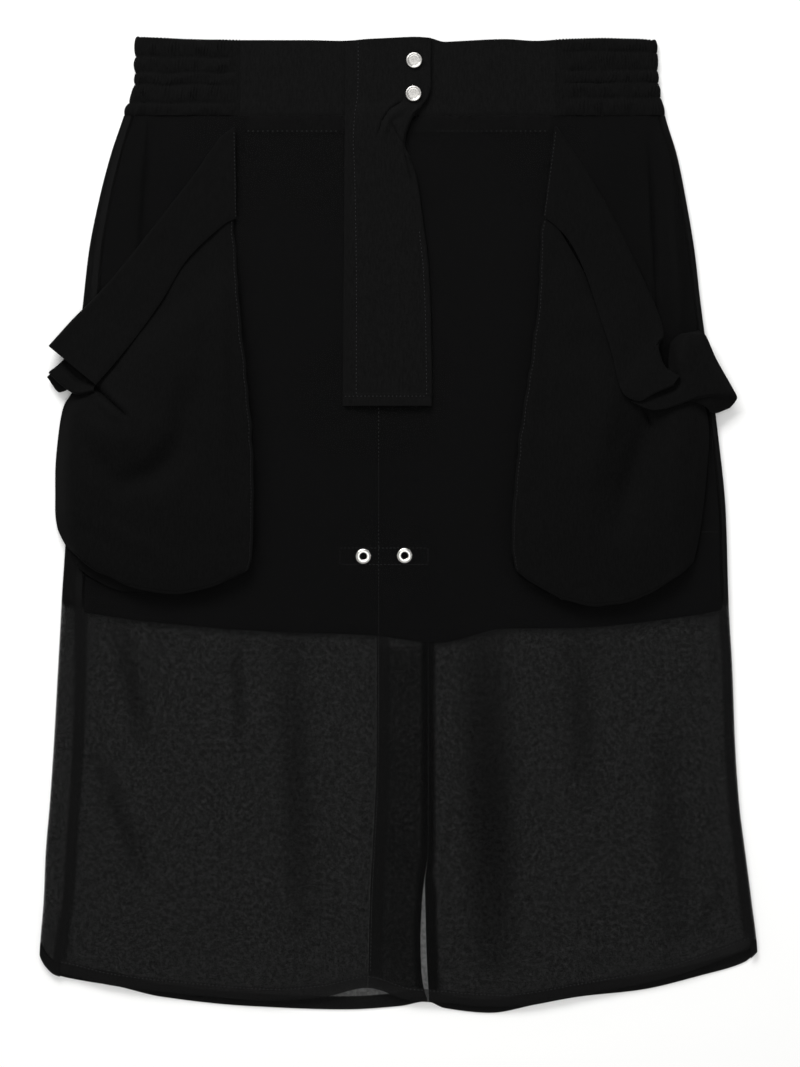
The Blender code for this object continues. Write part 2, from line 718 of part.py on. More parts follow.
def fold_sheet(name, lines, between=2):
    # A sheet that passes through a few lines in turn.
    across = between * (len(lines[0]["x"]) - 1) + 1
    at = np.linspace(0, 1, across)
    rails = []
    for line in lines:
        steps = at * (len(line["x"]) - 1)
        rails.append(np.stack([follow(line, c, steps) for c in ("x", "down", "z")], axis=-1))
    rails = np.array(rails)
    steps = np.linspace(0, len(lines) - 1, between * (len(lines) - 1) + 1)
    columns = [
        [follow({"place": rails[:, column, axis]}, "place", steps) for column in range(across)]
        for axis in range(3)
    ]
    x, down, z = np.array(columns).transpose(0, 2, 1)
    sheet(name, points(x, down, z), CLOTH)


def pocket(which, lines, dents, stations, sign):
    grid = bag(f"pocket_{which}_bag", lines, dents)
    # The gusset goes down the inner edge, from below the cuff, and back along the bottom edge.
    edge = np.concatenate([grid[5:, -1], grid[-1, -2:1:-1]])
    gusset(f"pocket_{which}_gusset", edge, sign)
    cuff(f"pocket_{which}_cuff", stations, rows=2 * len(stations["fold"]) - 1)


def pockets():
    pocket("left", LEFT_BAG, LEFT_BAG_DENTS, LEFT_CUFF, 1)
    pocket("right", RIGHT_BAG, RIGHT_BAG_DENTS, RIGHT_CUFF, -1)
    fold_sheet("pocket_left_fold", LEFT_FOLD)
    fold_sheet("pocket_right_flap", RIGHT_FLAP)


def turned(name, profile, sides):
    # A turned piece: (radius, height) pairs round the upright axis.
    mesh = bpy.data.meshes.new(name)
    count = len(profile)
    closed = profile[0][0] > 0
    edges = [(i, i + 1) for i in range(count - 1)] + ([(count - 1, 0)] if closed else [])
    mesh.from_pydata([(r * MM, 0, z * MM) for r, z in profile], edges, [])
    piece = add(name, "metal", mesh)
    screw = piece.modifiers.new("turn", "SCREW")
    screw.steps = screw.render_steps = sides
    screw.use_merge_vertices = True
    screw.merge_threshold = 0.00001
    return piece


def snaps():
    # Press fasteners, closed: flat caps with a rolled rim.
    h, r = SNAP_HEIGHT, SNAP_RADIUS
    profile = [
        (0, h - 0.5),
        (r - 1.5, h - 0.5),
        (r - 1.1, h - 0.1),
        (r - 0.6, h),
        (r - 0.15, h - 0.3),
        (r, h - 0.8),
        (r - 0.4, 0),
        (0, 0),
    ]
    for name, x, down in (("snap_upper", 11.5, 16.5), ("snap_lower", 11.0, 41.0)):
        piece = turned(name, profile, SNAP_SIDES)
        piece.location = (x * MM, (LENGTH / 2 - down) * MM, (PLACKET_TOP + GAP) * MM)


def eyelets(left_panel, right_panel):
    # Rolled rings with a barrel through the front panel.
    r, hole, barrel, rise = EYELET_RADIUS, EYELET_HOLE, EYELET_BARREL, EYELET_RISE
    seat = CLOTH + GAP
    profile = [
        (hole + 0.3, seat + rise - 0.3),
        (hole + 1.1, seat + rise),
        (r - 1.2, seat + rise - 0.1),
        (r, seat + 0.35),
        (r - 0.1, seat),
        (barrel, seat),
        (barrel, 0.0),
        (hole, 0.0),
        (hole, seat + rise - 0.9),
    ]
    for name, x, down, panel in (
        ("eyelet_left", -26.0, 382.0, left_panel),
        ("eyelet_right", 4.5, 381.5, right_panel),
    ):
        piece = turned(name, profile, EYELET_SIDES)
        piece.location = (x * MM, (LENGTH / 2 - down) * MM, FRONT_OVER_LINING * MM)
        bpy.ops.mesh.primitive_cylinder_add(
            vertices=EYELET_SIDES,
            radius=(barrel + GAP) * MM,
            depth=10 * seat * MM,
            location=piece.location,
        )
        cutter = bpy.context.active_object
        cutter.name = name + "_hole"
        for group in list(cutter.users_collection):
            group.objects.unlink(cutter)
        cutters.objects.link(cutter)
        cutter.hide_render = True
        cutter.display_type = "WIRE"
        cut = panel.modifiers.new("eyelet hole", "BOOLEAN")
        cut.operation = "DIFFERENCE"
        cut.solver = "EXACT"
        cut.object = cutter


def join_under_origin():
    origin = bpy.data.objects.new("midi_skirt_origin", None)
    parts.objects.link(origin)
    for piece in list(parts.objects) + list(cutters.objects):
        if piece is not origin:
            piece.parent = origin


clear_scene()
front_left, front_right = front_panels()
back_panel("left", np.linspace(0, 1, 9))
back_panel("right", np.linspace(0, 1, 8))
linings()
underlap()
waistband(elastic_side("left", CHANNELS_LEFT), elastic_side("right", CHANNELS_RIGHT))
placket()
snaps()
eyelets(front_left, front_right)
pockets()
join_under_origin()
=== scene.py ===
import math

import bpy
import numpy as np
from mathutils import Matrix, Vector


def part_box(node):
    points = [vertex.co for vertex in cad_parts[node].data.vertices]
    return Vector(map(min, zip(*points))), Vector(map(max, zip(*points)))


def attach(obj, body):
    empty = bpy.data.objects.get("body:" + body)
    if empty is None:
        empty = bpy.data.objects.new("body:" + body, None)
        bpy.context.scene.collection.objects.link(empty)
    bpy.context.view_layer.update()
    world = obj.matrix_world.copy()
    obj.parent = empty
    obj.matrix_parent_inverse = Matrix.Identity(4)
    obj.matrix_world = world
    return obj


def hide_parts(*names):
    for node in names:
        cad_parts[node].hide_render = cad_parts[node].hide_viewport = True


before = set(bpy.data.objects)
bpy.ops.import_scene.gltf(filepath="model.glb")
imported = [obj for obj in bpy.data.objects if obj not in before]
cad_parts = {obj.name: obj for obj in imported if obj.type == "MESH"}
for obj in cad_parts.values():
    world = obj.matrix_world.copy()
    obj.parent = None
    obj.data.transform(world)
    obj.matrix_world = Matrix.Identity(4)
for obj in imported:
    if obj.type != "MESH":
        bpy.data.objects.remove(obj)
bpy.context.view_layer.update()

# A black midi skirt, laid flat and face up: sheer crepe over a shorter lining.
# Lengths are in millimetres until they reach a mesh. x runs across the skirt, down is the
# distance below the waist edge, and z is the height over the surface.
mm = 0.001
skirtLength = 720.0
print("frame:", len(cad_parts), "nodes")

layers = {
    "wall": 1.0,  # height that each layer takes up
    "gap": 0.3,
    "thread": 0.45,  # thickness of the cloth itself
    "liningBack": 1.3,
    "liningFront": 2.6,
    "overLining": 3.9,
    "free": 2.6,  # underside of the front panels below the lining
    "ramp": 16.0,
    "waist": 56.5,
    "hem": 9.5,
}
panelTop = layers["waist"] + layers["gap"]
panelEnd = skirtLength - 10.0


def table(columns, *rows):
    return dict(zip(columns.split(), np.array(rows, float).T))


mirror = {"left": 1, "right": -1}  # the right half is made by the same code, turned over
creaseColumns = "x0 down0 x1 down1 width height"


outline = table(
    "down left right wrapLeft wrapRight",
    (0, -195, 191, 6, 3.5),
    (28, -195, 192, 6, 3.5),
    (56, -203, 197, 6, 3.5),
    (86, -213, 206, 7, 3.5),
    (121, -222, 213, 8, 3.5),
    (157, -229, 219, 9, 3.5),
    (192, -233, 223, 10, 3.5),
    (237, -238, 229, 11, 3.5),
    (290, -243, 236, 12, 3.5),
    (350, -245, 242, 13, 3.5),
    (414, -249, 244, 15, 3.5),
    (467, -252, 247, 17, 3.5),
    (521, -255, 249, 18, 3.5),
    (565, -258, 252, 18.5, 3.5),
    (601, -261, 256.5, 19, 4),
    (636, -262.5, 261, 18, 4.5),
    (677, -265.5, 265.5, 16, 5),
    (720, -266, 266, 15, 5),
)
centreFront = table("down x", (0, -16.5), (525, -16.5), (598, -19.5), (636, -21.5), (720, -23))
backVent = table(
    "down left right hemLeft hemRight",
    (0, 21.98, 22.02, 4.5, 4.5),
    (598, 21.98, 22.02, 4.5, 4.5),
    (625, 18.6, 19.6, 4.8, 6.0),
    (640, 17.2, 19.9, 5.0, 8.0),
    (666, 16.2, 20.5, 5.0, 8.0),
    (690, 17.0, 21.4, 5.0, 8.0),
    (703, 19.0, 22.2, 5.0, 8.0),
    (712, 21.4, 22.8, 5.0, 8.0),
    (720, 21.6, 23.0, 5.0, 8.0),
)
backHem = table(
    "x down",
    (-266, 676), (-262, 684), (-254, 691.5), (-232, 696.5), (-210, 700), (-176, 708), (-110, 715),
    (-40, 717.5), (1, 715), (21, 711.5), (34, 716.5), (68, 720), (101, 714), (134, 708), (179, 703),
    (223, 692.5), (256, 682.5), (266, 674),
)
frontHem = table(
    "x down",
    (-250, 690), (-241, 692), (-213, 699), (-159, 705.5), (-91, 710.5), (-57, 708), (-23, 701),
    (10, 710.5), (30, 712), (75, 715), (137, 706), (194, 695), (255, 674), (262, 671),
)
liningHem = table(
    "x down",
    (-250, 419), (-230, 422.5), (-184, 429), (-100, 436), (-21, 439), (30, 444.5), (78, 434),
    (128, 433.5), (223, 423.5), (244, 419),
)
# Soft folds of the front. The last column is painted shade and highlight: it shuts the sheer cloth along the
# folds, which darkens them below the lining as their shade, and lightens the ridges and the hips above the
# lining as painted highlight.
folds = table(
    creaseColumns + " close",
    (-120, 445, -118, 520, 16, 1.6, 0.12),
    (-80, 442, -72, 650, 36, 3.2, 0.14),
    (62, 445, 70, 676, 54, 5.0, 0.28),
    (130, 440, 138, 560, 36, 2.4, 0.12),
    (196, 500, 203, 670, 36, 2.6, 0.1),
    (240, 625, 222, 658, 15, 1.6, 0.1),
    (-206, 432, -188, 516, 26, 2.2, 0.16),
    (-222, 530, -190, 612, 26, 2.6, 0.14),
    (-188, 62, -197, 180, 12, 3.8, 0.22),
    (-182, 62, -187, 150, 6, -0.8, 0),
    (-168, 62, -171, 150, 15, 2.4, 0),
    (198, 72, 208, 228, 19, 4.6, 0.3),
    (186.5, 80, 193.5, 212, 6, -0.9, 0),
    (180.5, 66, 187.5, 208, 11, 3.8, 0),
    (178, 80, 196, 220, 96, 0, 0.55),
    (-185, 70, -205, 170, 70, 0, 0.12),
    (152, 58, 166, 110, 16, 2.0, 0),
    (131, 56, 137, 75, 6, -0.8, 0),
    (163, 56, 168, 73, 6, -0.8, 0),
    (-177, 56, -177, 80, 6, -0.8, 0),
    (-152, 56, -153, 82, 6, -0.8, 0),
)
# Painted shade: in these bands beside the pockets and along the troughs of the folds, the sheer cloth is made
# more open onto the dark lining, so that they read darker where shade falls.
paintedShadeBands = table(
    creaseColumns,
    (-112, 110, -104, 260, 30, 0.42),
    (-104, 240, -98, 390, 34, 0.42),
    (95, 150, 90, 280, 34, 0.42),
    (90, 260, 77, 395, 34, 0.42),
    (186, 78, 193, 214, 6, 0.6),
    (-182, 62, -187, 150, 6, 0.45),
    (131, 56, 137, 76, 5, 0.5),
    (163, 56, 168, 74, 5, 0.45),
    (-177, 56, -177, 82, 5, 0.4),
    (-152, 56, -153, 84, 5, 0.4),
)


def follow(rows, name, at, by=None):
    # a smooth reading of one column, by another column or by the number of the row
    values = rows[name]
    knots = rows[by] if by else np.arange(len(values), dtype=float)
    secants = np.diff(values) / np.diff(knots)
    before, after = np.append(secants[0], secants), np.append(secants, secants[-1])
    steady = before * after > 0
    slopes = np.where(steady, 2 * before * after / np.where(steady, before + after, 1), 0)
    i = np.clip(np.searchsorted(knots, at) - 1, 0, len(knots) - 2)
    span = knots[i + 1] - knots[i]
    t = np.clip((at - knots[i]) / span, 0, 1)
    start = (1 + 2 * t) * (1 - t) ** 2 * values[i] + t * (1 - t) ** 2 * span * slopes[i]
    end = t * t * (3 - 2 * t) * values[i + 1] - t * t * (1 - t) * span * slopes[i + 1]
    return start + end


def ease(share):
    t = np.clip(share, 0, 1)
    return t * t * (3 - 2 * t)


def bump(distance, width):
    # 1 in the middle, falling softly to 0 at half the width
    return np.cos(np.minimum(np.abs(distance) / (width / 2), 1) * math.pi / 2) ** 2


def waves(x, y, size, seed):
    # smooth uneven waves between about -1 and 1
    dice = np.random.default_rng(seed)
    total = 0.0
    for _ in range(8):
        angle, phase = dice.uniform(0, 2 * math.pi, 2)
        pitch = size * dice.uniform(1.3, 2.9)
        total = total + np.sin((x * np.cos(angle) + y * np.sin(angle)) * 2 * math.pi / pitch + phase)
    return total / 4


def ridges(rows, x, down, column="height"):
    rise = np.zeros(np.broadcast(x, down).shape)
    for i, size in enumerate(rows[column]):
        x0, down0 = rows["x0"][i], rows["down0"][i]
        run, drop = rows["x1"][i] - x0, rows["down1"][i] - down0
        along = np.clip(((x - x0) * run + (down - down0) * drop) / (run**2 + drop**2), 0, 1)
        off = np.hypot(x - x0 - along * run, down - down0 - along * drop)
        long = math.hypot(run, drop) > rows["width"][i]
        taper = np.sin(math.pi * (0.12 + 0.76 * along)) if long else 0.85
        rise += size * bump(off, rows["width"][i]) * taper
    return rise


def side(down, which, wrap=True):
    # the silhouette at one side, or the seam that lies in from it on the front
    edge = follow(outline, which, down, "down")
    inward = mirror[which] * follow(outline, "wrap" + which.capitalize(), down, "down")
    return edge + inward if wrap else edge


def frontLevel(x, down):
    past = (down - follow(liningHem, "down", x, "x") - 2) / layers["ramp"]
    return layers["overLining"] + (layers["free"] - layers["overLining"]) * ease(past)


def frontTop(x, down):
    return frontLevel(x, down) + ridges(folds, x, down) + layers["wall"]


def points(x, down, z):
    x, down, z = np.broadcast_arrays(x, down, z)
    return np.stack([x, skirtLength / 2 - down, z], axis=-1)


def lifted(grid, rise):
    # the points of a grid moved along its normals
    normal = np.cross(np.gradient(grid, axis=0), np.gradient(grid, axis=1))
    normal /= np.maximum(np.linalg.norm(normal, axis=-1, keepdims=True), 1e-9)
    return grid + normal * np.broadcast_to(rise, grid.shape[:2])[..., None]


def sample(grid, u, v):
    # points on a grid at shares of its rows and columns
    u, v = np.broadcast_arrays(u, v)
    u = np.clip(u, 0, 1) * (grid.shape[0] - 1)
    v = np.clip(v, 0, 1) * (grid.shape[1] - 1)
    i = np.minimum(u.astype(int), grid.shape[0] - 2)
    j = np.minimum(v.astype(int), grid.shape[1] - 2)
    a, b = (u - i)[:, None], (v - j)[:, None]
    top = grid[i, j] * (1 - b) + grid[i, j + 1] * b
    low = grid[i + 1, j] * (1 - b) + grid[i + 1, j + 1] * b
    return top * (1 - a) + low * a


def linear(hexColour):
    channels = [int(hexColour[i : i + 2], 16) / 255 for i in (1, 3, 5)]
    return [c / 12.92 if c <= 0.04045 else ((c + 0.055) / 1.055) ** 2.4 for c in channels] + [1.0]


def addNode(tree, kind, sockets=None, links=None, **settings):
    node = tree.nodes.new("ShaderNode" + kind)
    for name, value in settings.items():
        setattr(node, name, value)
    for name, value in (sockets or {}).items():
        node.inputs[name].default_value = value
    for name, source in (links or {}).items():
        tree.links.new(source, node.inputs[name])
    return node


def newMaterial(name, sockets):
    made = bpy.data.materials.new(name)
    made.use_nodes = True
    shader = made.node_tree.nodes["Principled BSDF"]
    for socket, value in sockets.items():
        shader.inputs[socket].default_value = value
    return made, made.node_tree, shader


crepeFinish = {
    "grain": 1.1,  # the twisted yarns lie 0.3 mm apart, drawn coarser so that they show
    "mottle": 2.8,  # cloudy patches of tighter and looser yarn
    "bump": 0.07,
    "openness": (0.6, 0.497),  # light that one face of the sheer cloth lets by
    "doubled": "#141414",  # turned hems and pressed allowances, where two layers catch the light
}


def crepe(name, dark, light, sheer=False):
    # Polyester crepe georgette, plain woven from hard twisted yarn: dry, matt and faintly pebbled.
    matt = {"IOR": 1.46, "Specular IOR Level": 0.05, "Sheen Weight": 0.01, "Sheen Roughness": 0.45}
    made, tree, shader = newMaterial(name, matt)
    coords = addNode(tree, "TexCoord").outputs["Object"]
    scale = 1 / (crepeFinish["grain"] * mm)
    noise = {"Scale": scale, "Detail": 3.0, "Roughness": 0.65}
    grain = addNode(tree, "TexNoise", noise, {"Vector": coords}).outputs["Fac"]
    upright = addNode(tree, "Mapping", {"Scale": (1.0, 0.22, 1.0)}, {"Vector": coords}).outputs["Vector"]
    noise = {"Scale": scale, "Detail": 2.0}
    yarns = addNode(tree, "TexNoise", noise, {"Vector": upright}).outputs["Fac"]
    surface = addNode(tree, "Math", links={0: grain, 1: yarns}, operation="ADD").outputs[0]
    spread = {"From Min": 0.78, "From Max": 1.22}
    ramp = addNode(tree, "MapRange", spread, {"Value": surface}).outputs["Result"]
    tones = {"A": linear(dark), "B": linear(light)}
    colour = addNode(tree, "Mix", tones, {"Factor": ramp}, data_type="RGBA").outputs["Result"]
    if sheer:
        doubled = addNode(tree, "Attribute", attribute_name="doubled").outputs["Fac"]
        tone = {"B": linear(crepeFinish["doubled"])}
        lighter = addNode(tree, "Mix", tone, {"A": colour, "Factor": doubled}, data_type="RGBA")
        colour = lighter.outputs["Result"]
    tree.links.new(colour, shader.inputs["Base Color"])
    rough = addNode(tree, "MapRange", {"To Min": 0.78, "To Max": 0.9}, {"Value": ramp})
    tree.links.new(rough.outputs["Result"], shader.inputs["Roughness"])
    depth = {"Strength": 0.6, "Distance": crepeFinish["bump"] * mm}
    relief = addNode(tree, "Bump", depth, {"Height": surface})
    tree.links.new(relief.outputs["Normal"], shader.inputs["Normal"])
    if sheer:
        noise = {"Scale": 1 / (crepeFinish["mottle"] * mm), "Detail": 4.0, "Roughness": 0.72}
        mottle = addNode(tree, "TexNoise", noise, {"Vector": coords}).outputs["Fac"]
        most, least = crepeFinish["openness"]
        spread = {"From Min": 0.41, "From Max": 0.59, "To Min": least, "To Max": most}
        opening = addNode(tree, "MapRange", spread, {"Value": mottle}).outputs["Result"]
        cover = addNode(tree, "Attribute", attribute_name="cover").outputs["Fac"]
        free = addNode(tree, "Math", {0: 1.0}, {1: cover}, operation="SUBTRACT").outputs[0]
        let = addNode(tree, "Math", links={0: opening, 1: free}, operation="MULTIPLY").outputs[0]
        alpha = addNode(tree, "Math", {0: 1.0}, {1: let}, operation="SUBTRACT").outputs[0]
        tree.links.new(alpha, shader.inputs["Alpha"])
    return made


def liningCloth():
    # Plain woven viscose lining: opaque, with a soft low lustre.
    lustre = {"Base Color": linear("#0b0b0c"), "Specular IOR Level": 0.12, "Sheen Weight": 0.01}
    made, tree, shader = newMaterial("wovenViscoseLining", lustre)
    coords = addNode(tree, "TexCoord").outputs["Object"]
    noise = {"Scale": 900.0, "Detail": 2.0}  # 1.1 mm, coarser than the threads, so that it shows
    threads = addNode(tree, "TexNoise", noise, {"Vector": coords}).outputs["Fac"]
    rough = addNode(tree, "MapRange", {"To Min": 0.6, "To Max": 0.75}, {"Value": threads})
    tree.links.new(rough.outputs["Result"], shader.inputs["Roughness"])
    return made


def sewingThread():
    # Spun polyester thread, a shade lighter than the cloth, so that topstitching reads as a fine line.
    spun = {"Specular IOR Level": 0.25, "Roughness": 0.55, "Sheen Weight": 0.05}
    made, tree, shader = newMaterial("spunPolyesterThread", spun)
    coords = addNode(tree, "TexCoord").outputs["Object"]
    fuzz = addNode(tree, "TexNoise", {"Scale": 1500.0}, {"Vector": coords}).outputs["Fac"]  # 0.7 mm
    tones = {"A": linear("#171718"), "B": linear("#29292b")}
    colour = addNode(tree, "Mix", tones, {"Factor": fuzz}, data_type="RGBA")
    tree.links.new(colour.outputs["Result"], shader.inputs["Base Color"])
    return made


def nickel(name, colour, roughness):
    # Nickel plate on pressed brass, tumbled: bright, slightly warm, with fine handling marks.
    made, tree, shader = newMaterial(name, {"Base Color": linear(colour), "Metallic": 1.0})
    coords = addNode(tree, "TexCoord").outputs["Object"]
    noise = {"Scale": 900.0, "Detail": 4.0}  # marks about 1 mm long
    marks = addNode(tree, "TexNoise", noise, {"Vector": coords}).outputs["Fac"]
    wear = {"From Min": 0.3, "From Max": 0.7, "To Min": roughness * 0.75, "To Max": roughness * 1.35}
    rough = addNode(tree, "MapRange", wear, {"Value": marks})
    tree.links.new(rough.outputs["Result"], shader.inputs["Roughness"])
    relief = addNode(tree, "Bump", {"Strength": 0.2, "Distance": 0.00003}, {"Height": marks})
    tree.links.new(relief.outputs["Normal"], shader.inputs["Normal"])
    return made


finishes = {
    "sheer": crepe("sheerCrepeGeorgette", "#060606", "#0e0e0e", sheer=True),
    "crepe": crepe("crepeGeorgette", "#050505", "#0a0a0a"),
    "fused": crepe("fusedCrepe", "#070707", "#0e0e0e"),
    # the gathered sides take a darker copy of the crepe: painted shade of the packed gathers
    "paintedGatherShade": crepe("paintedGatherShadeCrepe", "#050505", "#0c0c0c"),
    "lining": liningCloth(),
    "thread": sewingThread(),
    "cap": nickel("nickelPlatedCap", "#c8c6c2", 0.3),
    "ring": nickel("nickelPlatedRing", "#d2d0cb", 0.22),
}
print("materials:", len(finishes))


def place(piece, finish, node=None):
    bpy.context.scene.collection.objects.link(piece)
    piece.data.materials.append(finishes[finish])
    piece.data.shade_smooth()
    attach(piece, "root")
    if node:
        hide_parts(node)


def cloth(name, grid, finish, node, inward=-1, cover=None, doubled=0.0):
    # A thin closed shell from the grid of its outer points. Its thickness goes to the side that
    # inward says. cover is how far sheer cloth is shut, and doubled where it is turned on itself.
    rows, columns = grid.shape[:2]
    corner = (np.arange(rows - 1)[:, None] * columns + np.arange(columns - 1)).ravel()
    faces = np.stack([corner, corner + columns, corner + columns + 1, corner + 1], axis=1)
    mesh = bpy.data.meshes.new(name)
    mesh.from_pydata((grid.reshape(-1, 3) * mm).tolist(), [], faces.tolist())
    if cover is not None:
        for label, share in (("cover", cover), ("doubled", doubled)):
            shares = np.broadcast_to(share, (rows, columns)).ravel().astype(np.float32)
            mesh.attributes.new(label, "FLOAT", "POINT").data.foreach_set("value", shares)
    piece = bpy.data.objects.new(name, mesh)
    place(piece, finish, node)
    solid = piece.modifiers.new("thickness", "SOLIDIFY")
    solid.thickness = layers["thread"] * mm
    solid.offset = inward
    shell = bpy.data.meshes.new_from_object(piece.evaluated_get(bpy.context.evaluated_depsgraph_get()))
    piece.modifiers.clear()
    shell.set_sharp_from_angle(angle=math.radians(55))  # the cut edges stay crisp
    piece.data = shell


def hang(across, top, bottom, rows):
    # x and down of a panel's points, whose bottom edge is read at their own x
    end = bottom(across(np.full(across(0.0).shape, panelEnd)))
    for _ in range(8):
        end = bottom(across(end))
    down = top + rows[:, None] * (end - top)
    return across(down), down


def panelRows(spacing, hemLines=(10.6, 9.9, 9.3, 8.6, 6.5, 4, 2, 0.8, 0)):
    run = panelEnd - panelTop
    even = np.linspace(2.4 / run, 1 - 12 / run, round((run - 14) / spacing))
    return np.concatenate([np.array([0, 0.4, 0.8, 1.2, 1.7]) / run, even, 1 - np.array(hemLines) / run])


stitches = {"length": 1.3, "pitch": 2.9, "radius": 0.2}
seams = {}


def stitch(run, path, pitch=None):
    # puts stitches along a path of points, to be joined into one mesh later
    steps = np.concatenate([[0], np.cumsum(np.linalg.norm(np.diff(path, axis=0), axis=1))])
    starts = np.arange(0.4, steps[-1] - stitches["length"], pitch or stitches["pitch"])
    both = np.stack([starts, starts + stitches["length"]])
    seams.setdefault(run, []).append(np.stack([np.interp(both, steps, path[:, k]) for k in range(3)], axis=2))


def sewSeams():
    # Each stitch is a small six-sided thread with tapered ends that dive into the cloth.
    shares = np.array([0.0, 0.18, 0.5, 0.82, 1.0])
    swell = np.array([0.35, 0.9, 1.0, 0.9, 0.35])
    sink = np.array([-0.24, 0.0, 0.06, 0.0, -0.24])
    turn = np.arange(6) * math.pi / 3
    for run, parts in seams.items():
        a, b = np.concatenate(parts, axis=1)
        along = b - a
        along /= np.linalg.norm(along, axis=1, keepdims=True)
        across = np.cross(along, [0.0, 0.0, 1.0])
        across /= np.linalg.norm(across, axis=1, keepdims=True)
        up = np.cross(across, along)
        middle = a[:, None] + shares[None, :, None] * (b - a)[:, None] + sink[None, :, None] * up[:, None]
        ring = np.cos(turn)[:, None] * across[:, None, None] + np.sin(turn)[:, None] * up[:, None, None]
        verts = middle[:, :, None] + stitches["radius"] * swell[None, :, None, None] * ring
        rings, around = len(shares), len(turn)
        first = np.arange(len(a))[:, None, None] * rings * around
        low = first + np.arange(rings - 1)[None, :, None] * around
        here, there = np.arange(around), (np.arange(around) + 1) % around
        sides = np.stack([low + here, low + there, low + around + there, low + around + here], axis=-1)
        caps = [first[:, 0] + here[::-1], first[:, 0] + (rings - 1) * around + here]
        faces = sides.reshape(-1, 4).tolist() + np.concatenate(caps).tolist()
        mesh = bpy.data.meshes.new(run)
        mesh.from_pydata((verts.reshape(-1, 3) * mm).tolist(), [], faces)
        place(bpy.data.objects.new(run, mesh), "thread")


frontPanels = {
    "columnSpacing": 2.7,
    "rowSpacing": 3.0,
    "drape": 0.16,  # unevenness of cloth that lies flat
    "pucker": 0.16,  # ripples that the topstitching draws up
    "allowance": 9.0,  # pressed seam allowance, seen through the sheer part
    "sideAllowance": 3.8,
    "gathers": 0.3,
    "gatherPitch": 9.0,
    "hemRise": 0.8,  # the layers turned up inside the hem
    "hemGroove": 0.35,  # where its stitches draw it in
    "hemCover": 0.35,
    "seamCover": 0.4,
    "start": 0.8,  # the cloth turns down into the seam under the band
    "sink": 0.4,
    "bandAllowance": 68.0,  # the band's seam allowance closes the cloth down to here
    "seamGap": 0.04,
    "width": {"left": 235, "right": 262},
    "hip": {"left": (0.09, 0.26, 12), "right": (0.8, 0.97, 14)},  # more columns at the folds of the hip
}


def frontPanel(which):
    size = frontPanels
    rows = panelRows(size["rowSpacing"])
    even = np.linspace(0, 1, round(size["width"][which] / size["columnSpacing"]))
    shares = np.sort(np.concatenate([even, np.linspace(*size["hip"][which])]))
    gap = size["seamGap"]

    def across(down):
        ends = [side(down, which), follow(centreFront, "x", down, "down")]
        start, end = ends[:: mirror[which]]  # from left to right on either half
        return start + gap + shares * (end - gap - (start + gap))

    x, down = hang(across, panelTop - size["start"], lambda at: follow(frontHem, "down", at, "x"), rows)
    z = frontTop(x, down)
    sheerPart = ease((down - follow(liningHem, "down", x, "x")) / 3)
    # small gathers below the elastic sides, which die out over the hip
    fade = np.exp(-(down - panelTop) / 22) * ease((np.abs(x) - 112) / 14)
    ripple = np.sin(x * 2 * math.pi / size["gatherPitch"] + 2.4 * waves(x, down * 0.2, 26, 5))
    z = z + size["gathers"] * fade * ripple * (0.6 + 0.5 * waves(x, down * 0.3, 24, 6))
    z = z + size["drape"] * waves(x, down * 0.6, 34, 11) * (1 + 1.5 * sheerPart)
    z = z - size["sink"] * (1 - ease((down - down[:1]) / 1.9))
    seam = np.abs(x - follow(centreFront, "x", down, "down"))
    edge = np.abs(x - side(down, which))
    fromHem = down[-1:] - down
    near = np.exp(-seam / 5) + np.exp(-edge / 4) + np.exp(-fromHem / 12) * 0.8
    z = z + size["pucker"] * near * waves(x, down, 6, 7)
    hemmed = 1 - ease((fromHem - layers["hem"] + 0.3) / 0.8)
    z = z + size["hemRise"] * hemmed - size["hemGroove"] * bump(fromHem - layers["hem"] + 1.2, 2.4)
    z = z - size["sink"] * (1 - ease(fromHem / 1.2))
    # the centre seam's allowance is pressed to the right
    allowance = (which == "right") * (1 - ease((seam - size["allowance"]) / 1.2)) * sheerPart
    z = z + 0.25 * allowance * ease(seam / 1.0)
    sideAllowance = (1 - ease((edge - size["sideAllowance"]) / 1.0)) * sheerPart
    # painted shade and highlight: the folds' last column darkens them in the sheer part and lightens the
    # ridges and hips above the lining, and the painted shade bands darken the cloth beside the pockets and in
    # the fold troughs
    cover = ridges(folds, x, down, "close") - ridges(paintedShadeBands, x, down) * (1 - sheerPart)
    cover = cover + 0.6 * (1 - ease((down - size["bandAllowance"]) / 1.4)) * ease((116 - np.abs(x)) / 6)
    cover = np.maximum(cover, size["hemCover"] * hemmed)
    cover = np.maximum(cover, size["seamCover"] * np.maximum(0.75 * allowance, sideAllowance))
    doubled = np.maximum(hemmed, 0.35 * np.maximum(allowance, sideAllowance))
    grid = points(x, down, z)
    cover = np.clip(cover, -0.6, 0.97)
    cloth("frontPanel" + which.capitalize(), grid, "sheer", "front_" + which, -1, cover, doubled)
    stitch("hemStitches", grid[len(rows) - 6] + [0, 0, 0.1])


backPanels = {
    "columnSpacing": 3.2,
    "rowSpacing": 3.6,
    "hemCover": 0.65,
    "seamCover": 0.5,
    "sideCover": -0.2,  # thinner to the eye at the sides, where it was eased round the front
    "linedCover": 0.85,  # darker above the lining's edge, as if the lining went round the sides too
    "roll": 12,
    "width": {"left": 284, "right": 243},
}


